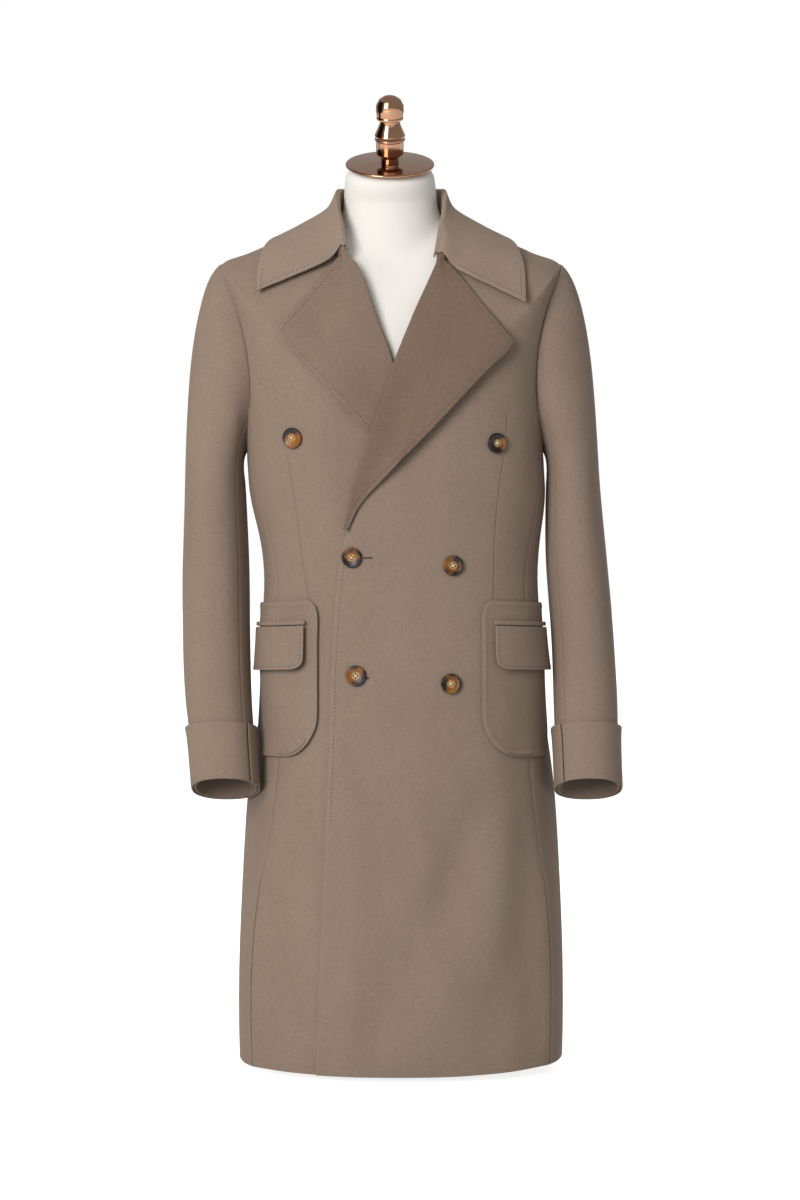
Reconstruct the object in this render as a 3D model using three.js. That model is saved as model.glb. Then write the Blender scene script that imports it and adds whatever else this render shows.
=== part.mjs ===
// A double-breasted overcoat worn by a limbless dress form on a low stand.
// Millimetres, +Z up, the front faces -Y, and the origin is the middle of the base's underside.
// X runs to the right as seen from the front, so the wearer's left front is on the +X side.
import * as THREE from "three";

// Cloth
const CLOTH = 2.5; // wall of the coating
const SEAM = 0.6; // gap between two panels at a seam
const LAY = 0.6; // gap under a piece that lies on a panel
const ROLL = 4.0; // outer radius of the roll of lapel and collar

// Stand and form
const BASE_RADIUS = 88;
const BASE_HEIGHT = 6;
const POLE_RADIUS = 16;
const FORM_BOTTOM = 430;
const CAP_RADIUS = 56.5;
const CAP_HEIGHT = 4;
const CAP_TILT = 22; // degrees, the neck leans forward
const TOUCH = 0.3; // gap between hard pieces that rest on each other

// Turns rows of numbers into rows with named columns.
const table = (names, rows) => {
  const keys = names.split(" ");
  return rows.map((row) => Object.fromEntries(keys.map((key, i) => [key, row[i]])));
};

// Sections of the coat from the neck seam to the hem. side, front and back are the heights of
// each ring there, half its half width, fore and aft its depths from the middle, square its
// squareness, lean its shift along X, and ease and easeFront how far the form lies inside it.
const RINGS = table("name side front back half fore aft square lean ease easeFront", [
  ["neck", 1092, 1040, 1099, 68, 55, 62, 2.0, -13, 9, 8],
  ["collarbone", 1078, 1004, 1079, 103, 82, 90, 2.0, -13, 4.4, 9],
  ["yoke", 1057, 964, 1048, 146, 104, 110, 2.1, -13, 4.0, 11],
  ["shoulder", 1039, 925, 1010, 190, 117, 121, 2.2, -13, 4.0, 13],
  ["point", 1027.5, 892, 968, 217, 123, 126, 2.4, -13, 5.0, 14],
  ["armhole high", 984, 867, 930, 208, 125, 128, 2.5, -12, 6, 13],
  ["armhole middle", 925, 842, 882, 198, 126, 128, 2.6, -11, 9, 13],
  ["armhole low", 858, 812, 834, 192, 126, 126, 2.6, -9.5, 10, 13],
  ["underarm", 786, 776, 782, 189, 124, 121, 2.6, -7.5, 11, 13],
  ["rib", 730, 728, 729, 188, 121, 115, 2.5, -4, 15, 14],
  ["waist high", 675, 675, 675, 178.5, 117, 107, 2.4, -1, 22, 17],
  ["waist", 625, 625, 625, 174.5, 115, 102, 2.4, 0, 26, 20],
  ["hip high", 570, 570, 570, 179.5, 117, 104, 2.4, 0, 24, 18],
  ["pocket", 500, 500, 500, 189, 121, 111, 2.4, 0, 20, 15],
  ["hip", 420, 420, 420, 197, 125, 118, 2.5, 0, 18, 15],
  ["skirt high", 310, 310, 310, 204.5, 128, 123, 2.5, 0, 18, 15],
  ["skirt low", 160, 160, 160, 207.5, 130, 126, 2.5, 0, 18, 15],
  ["hem", 14, 8, 7, 207.5, 131, 128, 2.5, 0, 18, 15],
]);
const NECK = 0;
const POINT = 4;
const UNDERARM = 8;
const HEM = RINGS.length - 1;

// A column of a table at a fractional row, by Catmull-Rom.
function column(rows, key, at) {
  const last = rows.length - 1;
  const i = Math.min(Math.max(Math.floor(at), 0), last - 1);
  const t = at - i;
  const value = (k) => rows[Math.min(Math.max(k, 0), last)][key];
  const [a, b, c, d] = [value(i - 1), value(i), value(i + 1), value(i + 2)];
  const turn = 2 * a - 5 * b + 4 * c - d;
  const swing = 3 * b - a - 3 * c + d;
  return b + 0.5 * t * (c - a + t * (turn + t * swing));
}

// A column of a table whose first column falls, looked up by that first column.
function lookUp(rows, by, key, at) {
  let i = 0;
  while (i < rows.length - 2 && rows[i + 1][by] > at) i++;
  const t = (rows[i][by] - at) / (rows[i][by] - rows[i + 1][by]);
  return column(rows, key, i + Math.min(Math.max(t, 0), 1));
}

const smooth = (low, high, x) => THREE.MathUtils.smoothstep(x, low, high);
const lerp = THREE.MathUtils.lerp;
const spread = (n) => Array.from({ length: n + 1 }, (_, i) => i / n);
const radians = THREE.MathUtils.degToRad;
const vec = (x, y, z) => new THREE.Vector3(x, y, z);

// The forearms press the coat in at its sides: how far, on each side, and between which heights.
const PRESS = { 1: 15, [-1]: 22.6 };
const pressAt = (y, z) => {
  const behind = 0.28 * (z - 440); // the forearm slants forward
  const across = smooth(-128, -80, y) * (1 - smooth(behind - 12, behind + 64, y));
  return across * smooth(266, 326, z) * (1 - smooth(400, 600, z));
};

// The point at angle turn round a ring: 0 is the front, a quarter turn the +X side.
function ringPoint(turn, v) {
  const get = (key) => column(RINGS, key, v);
  const power = 2 / get("square");
  const sine = Math.sin(turn);
  const cosine = Math.cos(turn);
  const depth = cosine > 0 ? -get("fore") : get("aft");
  const height = cosine > 0 ? get("front") : get("back");
  const y = depth * Math.abs(cosine) ** power;
  const z = lerp(get("side"), height, cosine * cosine);
  const side = Math.sign(sine);
  const out = get("half") * Math.abs(sine) ** power;
  const press = side ? PRESS[side] * pressAt(y, z) * smooth(0.4, 0.85, Math.abs(sine)) : 0;
  return vec(get("lean") + side * (out - press), y, z);
}

// The length round a ring from its front, at evenly spaced turns from 0 to a full turn.
const ARC_STEPS = 360;
const arcs = new Map();
function arcOf(v) {
  if (!arcs.has(v)) {
    const lengths = [0];
    let previous = ringPoint(0, v);
    for (let i = 1; i <= ARC_STEPS; i++) {
      const point = ringPoint((i / ARC_STEPS) * 2 * Math.PI, v);
      lengths.push(lengths[i - 1] + point.distanceTo(previous));
      previous = point;
    }
    arcs.set(v, lengths);
  }
  return arcs.get(v);
}
const halfArc = (v) => arcOf(v)[ARC_STEPS / 2];
const sideArc = (v) => arcOf(v)[ARC_STEPS / 4];

// The turn at a signed distance s round the ring from the front.
function turnAt(s, v) {
  const lengths = arcOf(v);
  const away = Math.min(Math.abs(s), lengths[ARC_STEPS]);
  let low = 0;
  let high = ARC_STEPS;
  while (high - low > 1) {
    const middle = (low + high) >> 1;
    if (lengths[middle] > away) high = middle;
    else low = middle;
  }
  const part = (away - lengths[low]) / (lengths[high] - lengths[low]);
  return (Math.sign(s) * (low + part) * 2 * Math.PI) / ARC_STEPS;
}

const onRing = (s, v) => ringPoint(turnAt(s, v), v);

// The coat's outward normal at s and v.
const STEP_S = 1.5;
const STEP_V = 0.03;
function normalAt(s, v) {
  const up = Math.max(v - STEP_V, NECK);
  const down = Math.min(v + STEP_V, HEM);
  const turn = turnAt(s, v);
  const along = onRing(s + STEP_S, v).sub(onRing(s - STEP_S, v));
  const fall = ringPoint(turn, down).sub(ringPoint(turn, up));
  return fall.cross(along).normalize();
}

// The coat's surface at s and v, moved out by height.
const surface = (s, v, height = 0) => onRing(s, v).addScaledVector(normalAt(s, v), height);

// The s and v of the front surface at x and z, as seen from the front.
function onFront(x, z) {
  const turnFor = (v) => {
    const part = (x - column(RINGS, "lean", v)) / column(RINGS, "half", v);
    const sine = Math.min(Math.abs(part), 1) ** (column(RINGS, "square", v) / 2);
    return Math.sign(part) * Math.asin(sine);
  };
  let low = NECK;
  let high = HEM;
  for (let i = 0; i < 40; i++) {
    const middle = (low + high) / 2;
    if (ringPoint(turnFor(middle), middle).z > z) low = middle;
    else high = middle;
  }
  const turn = turnFor(low);
  const step = (Math.abs(turn) / (2 * Math.PI)) * ARC_STEPS;
  const lengths = arcOf(low);
  const i = Math.min(Math.floor(step), ARC_STEPS - 1);
  const s = Math.sign(turn) * lerp(lengths[i], lengths[i + 1], step - i);
  return { s, v: low };
}

// A closed solid from vertices and triangles, turned to face out if it faces in.
function solid(points, triangles) {
  let volume = 0;
  for (const [a, b, c] of triangles) {
    volume += points[a].dot(vec().crossVectors(points[b], points[c]));
  }
  const faces = volume > 0 ? triangles : triangles.map(([a, b, c]) => [a, c, b]);
  const geometry = new THREE.BufferGeometry();
  geometry.setAttribute(
    "position",
    new THREE.Float32BufferAttribute(points.flatMap((p) => [p.x, p.y, p.z]), 3),
  );
  geometry.setIndex(faces.flat());
  geometry.computeVertexNormals();
  return geometry;
}

// A wall of cloth between an outer and an inner grid of points, both as rows of columns.
function wall(outer, inner) {
  const rows = outer.length;
  const columns = outer[0].length;
  const points = [...outer.flat(), ...inner.flat()];
  const out = (i, j) => i * columns + j;
  const back = (i, j) => rows * columns + out(i, j);
  const triangles = [];
  const across = (a, b) => points[a].distanceTo(points[b]);
  const quad = (a, b, c, d) => {
    if (across(a, c) <= across(b, d)) triangles.push([a, b, c], [a, c, d]);
    else triangles.push([a, b, d], [b, c, d]);
  };
  for (let i = 0; i < rows - 1; i++) {
    for (let j = 0; j < columns - 1; j++) {
      quad(out(i, j), out(i + 1, j), out(i + 1, j + 1), out(i, j + 1));
      quad(back(i + 1, j), back(i, j), back(i, j + 1), back(i + 1, j + 1));
    }
    const end = columns - 1;
    quad(out(i + 1, 0), out(i, 0), back(i, 0), back(i + 1, 0));
    quad(out(i, end), out(i + 1, end), back(i + 1, end), back(i, end));
  }
  for (let j = 0; j < columns - 1; j++) {
    const end = rows - 1;
    quad(out(0, j), out(0, j + 1), back(0, j + 1), back(0, j));
    quad(out(end, j + 1), out(end, j), back(end, j), back(end, j + 1));
  }
  return solid(points, triangles);
}

// A wall of cloth on the coat's surface, from rows of { s, v, height }.
function clothOn(rows, thickness = CLOTH) {
  const lay = (drop) => rows.map((row) => row.map((p) => surface(p.s, p.v, p.height - drop)));
  return wall(lay(0), lay(thickness));
}

// A solid through closed rings of points, with its two ends closed flat.
function loft(rings) {
  const round = rings[0].length;
  const middle = (ring) => ring.reduce((sum, p) => sum.add(p), vec()).divideScalar(round);
  const points = [...rings.flat(), middle(rings[0]), middle(rings.at(-1))];
  const foot = rings.length * round;
  const head = foot + 1;
  const at = (i, j) => i * round + (j % round);
  const triangles = [];
  for (let j = 0; j < round; j++) {
    for (let i = 0; i < rings.length - 1; i++) {
      triangles.push([at(i, j), at(i, j + 1), at(i + 1, j + 1)]);
      triangles.push([at(i, j), at(i + 1, j + 1), at(i + 1, j)]);
    }
    triangles.push([foot, at(0, j + 1), at(0, j)]);
    triangles.push([head, at(rings.length - 1, j), at(rings.length - 1, j + 1)]);
  }
  return solid(points, triangles);
}

// Fronts
// The free edge of the wearer's left front, which lies on top: the roll line from the neck to
// the break at 665, and the front edge from there to the hem.
const LEFT_EDGE = table("z x", [
  [1100, 62],
  [1036, 56],
  [977, 31],
  [927, 10.5],
  [897, -1.2],
  [850, -16],
  [805, -31.5],
  [740, -51.5],
  [700, -62],
  [665, -74],
  [622, -80],
  [578, -84],
  [500, -88],
  [420, -90],
  [320, -94],
  [200, -99],
  [100, -104],
  [0, -107],
]);
// The same for the wearer's right front, which lies below.
const RIGHT_EDGE = table("z x", [
  [1100, -88],
  [1043, -84],
  [1022, -66],
  [990, -48.5],
  [954, -36.5],
  [898, -14.5],
  [850, 5],
  [805, 22],
  [740, 45],
  [700, 59],
  [665, 69],
  [622, 78],
  [578, 83],
  [500, 87],
  [420, 89],
  [320, 93],
  [200, 98],
  [100, 103],
  [0, 106],
]);
const BREAK = 665;

// The distance round ring v at which a front's free edge crosses it.
function edgeAt(edge, v) {
  const past = (turn) => {
    const point = ringPoint(turn, v);
    return point.x - lookUp(edge, "z", "x", point.z);
  };
  const outward = edge === LEFT_EDGE ? 1 : -1;
  let low = -outward * radians(70);
  let high = outward * radians(89);
  for (let i = 0; i < 40; i++) {
    const middle = (low + high) / 2;
    if (past(middle) * outward > 0) high = middle;
    else low = middle;
  }
  const step = (Math.abs(low) / (2 * Math.PI)) * ARC_STEPS;
  const i = Math.floor(step);
  return Math.sign(low) * lerp(arcOf(v)[i], arcOf(v)[i + 1], step - i);
}

// How far the right front lies under the coat's surface: below the left front where that covers
// it, and deeper by the right lapel's thickness in the crossing above the break.
const UNDER_LAPEL = 9.5;
const UNDER_FRONT = CLOTH + LAY + 1;
const SINK_RAMP = 80;
const SINK_MARGIN = 8;
function sink(s, v) {
  const point = onRing(s, v);
  const full = lookUp(LEFT_EDGE, "z", "x", point.z) - SINK_MARGIN;
  const depth = lerp(UNDER_FRONT, UNDER_LAPEL, smooth(BREAK - 5, BREAK + 55, point.z));
  return depth * smooth(full - SINK_RAMP, full, point.x);
}

// Seams, as distances forward and back of the side line, against the ring
const SEAMS = table("v fore aft", [
  [7.4, 48, 52],
  [9, 56, 56],
  [11, 66, 60],
  [13, 74, 68],
  [17, 80, 78],
]);
function seamAway(key, v) {
  let i = 0;
  while (i < SEAMS.length - 2 && SEAMS[i + 1].v < v) i++;
  const t = (v - SEAMS[i].v) / (SEAMS[i + 1].v - SEAMS[i].v);
  return column(SEAMS, key, i + Math.min(Math.max(t, 0), 1));
}
const CORNER = SEAMS[0].v; // the ring where the side seams reach the armhole

// Armhole: an egg from the shoulder point to the underarm, wider behind
const ARMHOLE_FORE = 68;
const ARMHOLE_AFT = 74;
const armholeV = (angle) => lerp(POINT, UNDERARM, (1 - Math.cos(angle)) / 2);
const armholeAway = (key, v) => {
  const cosine = 1 - (2 * (v - POINT)) / (UNDERARM - POINT);
  const width = key === "fore" ? ARMHOLE_FORE : ARMHOLE_AFT;
  return width * Math.sqrt(Math.max(1 - cosine * cosine, 0));
};
// How far a panel's side edge lies from the side line: shoulder seam, armhole, then side seam.
function sideAway(key, v) {
  if (v <= POINT) return SEAM / 2;
  return v < CORNER ? armholeAway(key, v) + SEAM / 2 : seamAway(key, v) + SEAM / 2;
}

const UPPER_ROWS = [0, 0.5, 1, 1.5, 2, 2.5, 3, 3.5, 4, 4.12, 4.4, 4.8, 5.3, 5.9, 6.5, 7, CORNER];
const LOWER_ROWS = [8, 8.6, 9.3, 10, 11, 12, 12.5, 13, 13.5, 14, 14.5, 15, 16, HEM];
const PANEL_ROWS = [...UPPER_ROWS, ...LOWER_ROWS];
const FRONT_COLUMNS = [0, 0.07, 0.14, 0.22, 0.32, 0.44, 0.58, 0.74, 0.87, 1];
const BACK_COLUMNS = 6;
const SIDE_COLUMNS = 6;

function front(edge) {
  const side = edge === LEFT_EDGE ? 1 : -1;
  const height = side > 0 ? () => 0 : (s, v) => -sink(s, v);
  const rows = PANEL_ROWS.map((v) => {
    const from = edgeAt(edge, v);
    const to = side * (sideArc(v) - sideAway("fore", v));
    return FRONT_COLUMNS.map((t) => {
      const s = lerp(from, to, t);
      return { s, v, height: height(s, v) };
    });
  });
  return clothOn(rows);
}

function back(side) {
  const rows = PANEL_ROWS.map((v) => {
    const from = side * (sideArc(v) + sideAway("aft", v));
    const to = side * (halfArc(v) - SEAM / 2);
    return spread(BACK_COLUMNS).map((t) => ({ s: lerp(from, to, t), v, height: 0 }));
  });
  return clothOn(rows);
}

function sideBody(side) {
  const rows = [CORNER, ...LOWER_ROWS].map((v, i) =>
    spread(SIDE_COLUMNS).map((t) => {
      const fore = Math.PI - Math.asin(seamAway("fore", CORNER) / ARMHOLE_FORE);
      const aft = Math.PI + Math.asin(seamAway("aft", CORNER) / ARMHOLE_AFT);
      const dip = armholeV(lerp(fore, aft, t)) - CORNER;
      const ring = v + dip * (1 - smooth(0, 4, i)) + (i ? 0 : 0.01);
      const away = lerp(-seamAway("fore", v) + SEAM / 2, seamAway("aft", v) - SEAM / 2, t);
      return { s: side * (sideArc(Math.min(ring, HEM)) + away), v: Math.min(ring, HEM), height: 0 };
    }),
  );
  return clothOn(rows);
}

// The normals of a grid of points, pointing to the side that the thickness is taken from.
function gridNormals(grid, sign) {
  const near = (list, k) => list[Math.min(Math.max(k, 0), list.length - 1)];
  return grid.map((row, i) =>
    row.map((_, j) => {
      const down = near(grid, i + 1)[j].clone().sub(near(grid, i - 1)[j]);
      const across = near(row, j + 1).clone().sub(near(row, j - 1));
      return down.cross(across).normalize().multiplyScalar(sign);
    }),
  );
}

// A wall of cloth from its outer grid alone; sign tells which side is the outer one.
function thicken(grid, sign, thickness = CLOTH) {
  const normals = gridNormals(grid, sign);
  const inner = grid.map((row, i) =>
    row.map((p, j) => p.clone().addScaledVector(normals[i][j], -thickness)),
  );
  return wall(grid, inner);
}

// Sleeves: sections from the upper arm to the wrist. outer and inner are the X of the edges
// away from the body and next to it, y and deep the middle and half depth, tilt the rise
// of the section's front in degrees.
const SLEEVE_LEFT = table("z outer inner y deep tilt", [
  [742, 254.5, 185, -1, 67, 0],
  [676, 261, 184.5, 0, 65, 2],
  [624, 266, 187, 0, 62, 4],
  [573, 270.5, 191, -3, 59, 8],
  [522, 273.5, 193.5, -10, 55, 13],
  [471, 276, 194.5, -21, 51, 15],
  [430, 276, 195.5, -32, 49, 14],
  [362, 277.5, 197.5, -50, 48, 21],
]);
const SLEEVE_RIGHT = table("z outer inner y deep tilt", [
  [742, -276, -198, -1, 67, 0],
  [676, -278, -195, 0, 65, 2],
  [624, -279.5, -193.5, 0, 62, 4],
  [573, -279, -193, -3, 59, 8],
  [522, -278, -192, -10, 55, 13],
  [471, -274.5, -190, -21, 51, 15],
  [430, -269, -186.5, -32, 49, 14],
  [362, -262.5, -181.5, -50, 48, 21],
]);
const SLEEVE_SQUARE = 2.25;
const WRIST = SLEEVE_LEFT.length - 1;

// A point on a sleeve below its head; angle 0 is the outside, a quarter turn the front.
function sleeveRing(rows, angle, at) {
  const get = (key) => column(rows, key, at);
  const power = 2 / SLEEVE_SQUARE;
  const part = (value) => Math.sign(value) * Math.abs(value) ** power;
  const out = part(Math.cos(angle));
  const fore = get("deep") * part(Math.sin(angle));
  const tilt = radians(get("tilt"));
  return vec(
    lerp(get("inner"), get("outer"), (1 + out) / 2),
    get("y") - fore * Math.cos(tilt),
    get("z") + fore * Math.sin(tilt),
  );
}

// The armhole seam on the sleeve's side, at an angle and a height from the coat's surface.
const NOTCH = 0.02;
function armhole(side, angle, height) {
  const v = lerp(POINT + NOTCH, UNDERARM - NOTCH, (1 - Math.cos(angle)) / 2);
  const width = Math.sin(angle) > 0 ? -ARMHOLE_FORE : ARMHOLE_AFT;
  const away = width * Math.abs(Math.sin(angle)) * 0.992;
  return surface(side * (sideArc(v) + away), v, height);
}

// The sleeve head runs from the armhole to the upper arm as a Hermite curve at each angle:
// it leaves the shoulder outward, and the underarm almost straight down.
const HEAD_OUT = [132, 26];
const HEAD_DOWN = [-105, -40];
const HEAD_SWELL = 26;
function sleevePoint(side, angle, at) {
  const rows = side > 0 ? SLEEVE_LEFT : SLEEVE_RIGHT;
  if (at >= 1) return sleeveRing(rows, angle, at - 1);
  const under = (1 - Math.cos(angle)) / 2;
  const from = armhole(side, angle, 0);
  const to = sleeveRing(rows, angle, 0);
  const leave = vec(
    side * lerp(...HEAD_OUT, under),
    -HEAD_SWELL * Math.sin(angle),
    lerp(...HEAD_DOWN, under),
  );
  const arrive = sleeveRing(rows, angle, 0.2).sub(to).multiplyScalar(lerp(17, 3, under));
  const [t, u] = [at, 1 - at];
  return vec()
    .addScaledVector(from, (1 + 2 * t) * u * u)
    .addScaledVector(leave, t * u * u)
    .addScaledVector(to, (1 + 2 * u) * t * t)
    .addScaledVector(arrive, -t * t * u);
}

// A sleeve's outward normal
function sleeveNormal(side, angle, at) {
  const along = sleevePoint(side, angle + 0.04, at).sub(sleevePoint(side, angle - 0.04, at));
  const [up, down] = [Math.max(at - 0.02, 0), Math.min(at + 0.02, 1 + WRIST)];
  const fall = sleevePoint(side, angle, down).sub(sleevePoint(side, angle, up));
  return along.cross(fall).normalize().multiplyScalar(side);
}

const SLEEVE_ROWS = [0, 0.06, 0.14, 0.24, 0.38, 0.55, 0.77, 1, 2, 3, 4, 5, 6, 7, 1 + WRIST];
// The angles of the sleeve's columns: those of the body's rows at the armhole.
const ARM_FORE = [...UPPER_ROWS.slice(8, -1).map((v) => Math.acos(3 - v / 2)), 2.358];
const ARM_AFT = [...ARM_FORE.slice(0, -1), 2.362].map((angle) => 2 * Math.PI - angle);
const TOP_ANGLES = [...[...ARM_FORE].reverse(), ...ARM_AFT.slice(1).map((a) => a - 2 * Math.PI)];
const UNDER_ANGLES = spread(SIDE_COLUMNS).map((t) => lerp(ARM_FORE.at(-1), ARM_AFT.at(-1), t));

function sleeve(side, angles) {
  const trim = (j) => (j === 0 ? 0.006 : j === angles.length - 1 ? -0.006 : 0);
  const turned = angles.map((a, j) => a + trim(j) * Math.sign(angles.at(-1) - angles[0]));
  const outer = SLEEVE_ROWS.map((at) => turned.map((a) => sleevePoint(side, a, at)));
  const inner = SLEEVE_ROWS.map((at) =>
    turned.map((a) => {
      if (at === 0) return armhole(side, a, -CLOTH);
      return sleevePoint(side, a, at).addScaledVector(sleeveNormal(side, a, at), -CLOTH);
    }),
  );
  return wall(outer, inner);
}

// Turned-back cuffs, open at a slit inside the front of the sleeve
const CUFF_ROWS = [6.86, 7.05, 7.35, 7.7, 8.04];
const CUFF_LIFT = [5.2, 4.2, 3.6, 3.5, 3.5];
const CUFF_SLIT = radians(138);
const CUFF_COLUMNS = 24;
function cuff(side) {
  const rows = side > 0 ? SLEEVE_LEFT : SLEEVE_RIGHT;
  const gap = 0.03;
  const ring = (angle, at) => sleeveRing(rows, angle, at - 1);
  const grid = CUFF_ROWS.map((at, i) =>
    spread(CUFF_COLUMNS).map((t) => {
      const angle = CUFF_SLIT + lerp(gap, 2 * Math.PI - gap, t);
      const along = ring(angle + 0.05, at).sub(ring(angle - 0.05, at));
      const fall = ring(angle, at + 0.05).sub(ring(angle, at - 0.05));
      const normal = fall.cross(along).normalize().multiplyScalar(-side);
      return ring(angle, at).addScaledVector(normal, CUFF_LIFT[i]);
    }),
  );
  return thicken(grid, -side);
}

// Collar. The fold runs round the neck and down to the gorge; the fall lies on the coat.
const FOLD = table("turn x y z stand", [
  [180, -12.5, 63, 1128, 24],
  [150, 24, 56, 1128, 24],
  [120, 48, 33, 1125, 24],
  [90, 55.5, 2, 1121, 24],
  [70, 56, -24, 1107, 20],
  [52, 53, -44, 1087, 16],
  [38, 49, -60, 1063, 9],
  [26, 45, -71, 1038, 3],
]);
const FOLD_MIDDLE = -12.5;
const FALL_BACK = 2.25; // ring reached by the fall at the middle of the back
const FALL_SIDE = 2.0;
const SIDE_STATION = 3;
// The front end of the collar in front view, from the gorge through the notch to the point
const COLLAR_END = table("r leftX leftZ rightX rightZ", [
  [0, 50, 1034, -74, 1043],
  [0.25, 68, 1012, -88, 1023],
  [0.55, 98, 996, -122, 1007],
  [0.8, 129, 982, -153, 995],
  [1, 154, 970, -179, 984],
]);
const FOLD_RISE = { 1: 0, [-1]: 9 }; // the fold's wearer's right end lies a little higher
const FALL = [0.04, 0.25, 0.5, 0.75, 1];
const FALL_HEIGHT = [13, 7.5, 4.8, 4.2, 4.6];

function collarFall(side, station, r) {
  const flat = Math.min(station, SIDE_STATION) / SIDE_STATION;
  const forward = Math.max(station - SIDE_STATION, 0) / (FOLD.length - 1 - SIDE_STATION);
  const turn = radians(column(FOLD, "turn", Math.min(station, SIDE_STATION)));
  const v = lerp(0.12, lerp(FALL_BACK, FALL_SIDE, flat), r);
  const arc = lerp(halfArc(v), sideArc(v), (Math.PI - turn) / (Math.PI / 2));
  if (forward === 0) return { s: side * arc, v };
  const end = COLLAR_END.findIndex((row) => row.r >= r);
  const [a, b] = [COLLAR_END[Math.max(end - 1, 0)], COLLAR_END[end]];
  const t = b.r > a.r ? (r - a.r) / (b.r - a.r) : 0;
  const [x, z] = side > 0 ? ["leftX", "leftZ"] : ["rightX", "rightZ"];
  const tip = onFront(lerp(a[x], b[x], t), lerp(a[z], b[z], t));
  return { s: lerp(side * arc, tip.s, forward), v: lerp(v, tip.v, forward ** 1.15) };
}

function collar() {
  const last = FOLD.length - 1;
  const stations = [];
  for (let k = last; k >= 0; k -= 0.5) stations.push([-1, k]);
  for (let k = 0.5; k <= last; k += 0.5) stations.push([1, k]);
  const grid = stations.map(([side, k]) => {
    const x = FOLD_MIDDLE + side * (column(FOLD, "x", k) - FOLD_MIDDLE);
    const y = column(FOLD, "y", k);
    const forward = Math.max(k - SIDE_STATION, 0) / (last - SIDE_STATION);
    const fold = vec(x, y, column(FOLD, "z", k) + FOLD_RISE[side] * forward);
    const inward = vec(FOLD_MIDDLE - x, 4 - y, 0).normalize();
    if (k > last - 2) inward.set(-side, 0.2, 0).normalize();
    const stand = column(FOLD, "stand", k);
    const round = [0, 0.25, 0.5, 0.75].map((t) => t * Math.PI).map((angle) =>
      fold.clone().add(vec(0, 0, -ROLL)).addScaledVector(inward, ROLL * Math.cos(angle))
        .add(vec(0, 0, ROLL * Math.sin(angle))));
    const foot = round[0].clone().add(vec(0, 0, -stand)).addScaledVector(inward, 1);
    const middle = round[0].clone().lerp(foot, 0.5);
    const fall = FALL.map((r, i) => {
      const { s, v } = collarFall(side, k, r);
      return surface(s, v, FALL_HEIGHT[i] + LAY);
    });
    return [foot, middle, ...round, ...fall];
  });
  return thicken(grid, 1);
}

// Lapels: rows in front view, from the roll to the outer edge
const LEFT_LAPEL = table("z roll edge", [
  [1026, 47, 53],
  [1010, 40, 70],
  [990, 31.5, 86],
  [968, 21.5, 103],
  [946, 12.5, 120],
  [924, 3.5, 137],
  [900, -6, 115],
  [875, -14, 92],
  [850, -22, 69],
  [827, -30, 48],
  [800, -39.5, 22],
  [776, -48, -2],
  [752, -55, -24],
  [729, -60, -45],
  [710, -64.5, -57],
  [691, -70, -65],
]);
const RIGHT_LAPEL = table("z roll edge", [
  [1030, -65, -78],
  [1020, -56.5, -86],
  [1011, -51.5, -94],
  [1000, -46.5, -102],
  [978, -39, -120],
  [957, -32, -137],
  [937, -24.5, -153],
  [915, -16, -135],
  [897, -9, -118],
  [875, 6, -98],
  [850, 0, -76],
  [827, -10, -56],
  [807, -16, -38],
]);
const ROLL_AHEAD = [1.5, -1, -2.5, -1.2, 2.5];
const ROLL_HEIGHT = [-3.2, -0.5, 2.6, 5.4, 6.6];
const LAPEL_ACROSS = [0.16, 0.33, 0.5, 0.67, 0.84, 1];
function lapel(rows, side, ground) {
  const grid = rows.map(({ z, roll, edge }) => {
    const from = onFront(roll, z);
    const to = onFront(edge, z);
    const under = side < 0 ? 1 - smooth(880, 905, z) : 0;
    const tall = Math.abs(to.s - from.s);
    const calm = smooth(4, 45, tall);
    const curl = ROLL_AHEAD.map((ahead, i) => {
      const s = from.s + side * lerp(ahead, i * 1.5, under);
      const lift = lerp(lerp(ROLL_HEIGHT[i], Math.min(ROLL_HEIGHT[i], 4.6), 1 - calm), 4.3, under);
      return surface(s, from.v, lift + ground(s, from.v));
    });
    const laid = LAPEL_ACROSS.map((t) => {
      const s = lerp(from.s + side * Math.min(6, tall * 0.5), to.s, t);
      const v = lerp(from.v, to.v, (s - from.s) / (to.s - from.s));
      const bow = lerp(6.4, 4.5, smooth(0, 0.6, t)) * calm + 4.4 * (1 - calm);
      return surface(s, v, lerp(bow, 4.3, under) + ground(s, v));
    });
    return [...curl, ...laid];
  });
  return thicken(grid, side);
}

// Patch pockets, flaps and jets, in lengths round the coat from the pocket's middle
const POCKET = { half: 82, top: 598, bottom: 404, round: 52, turn: 12, edge: 6.3, raise: 1.3 };
const POCKET_INSETS = [0, 6.2, 7.4, 30, 54, 76];
const CUT = CLOTH - 0.3; // the wall of the smaller pieces
const POCKET_LAY = 1.93;
const EDGE_LAY = 0.7; // the sewn edge lies closer
const POCKET_MIDDLE = { 1: 184, [-1]: -188 };
const SLANT = 0.05;

// The ring at which the coat has height z at the distance s
function ringAt(s, z) {
  let low = UNDERARM;
  let high = HEM;
  for (let i = 0; i < 24; i++) {
    const middle = (low + high) / 2;
    if (onRing(s, middle).z > z) low = middle;
    else high = middle;
  }
  return low;
}

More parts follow.
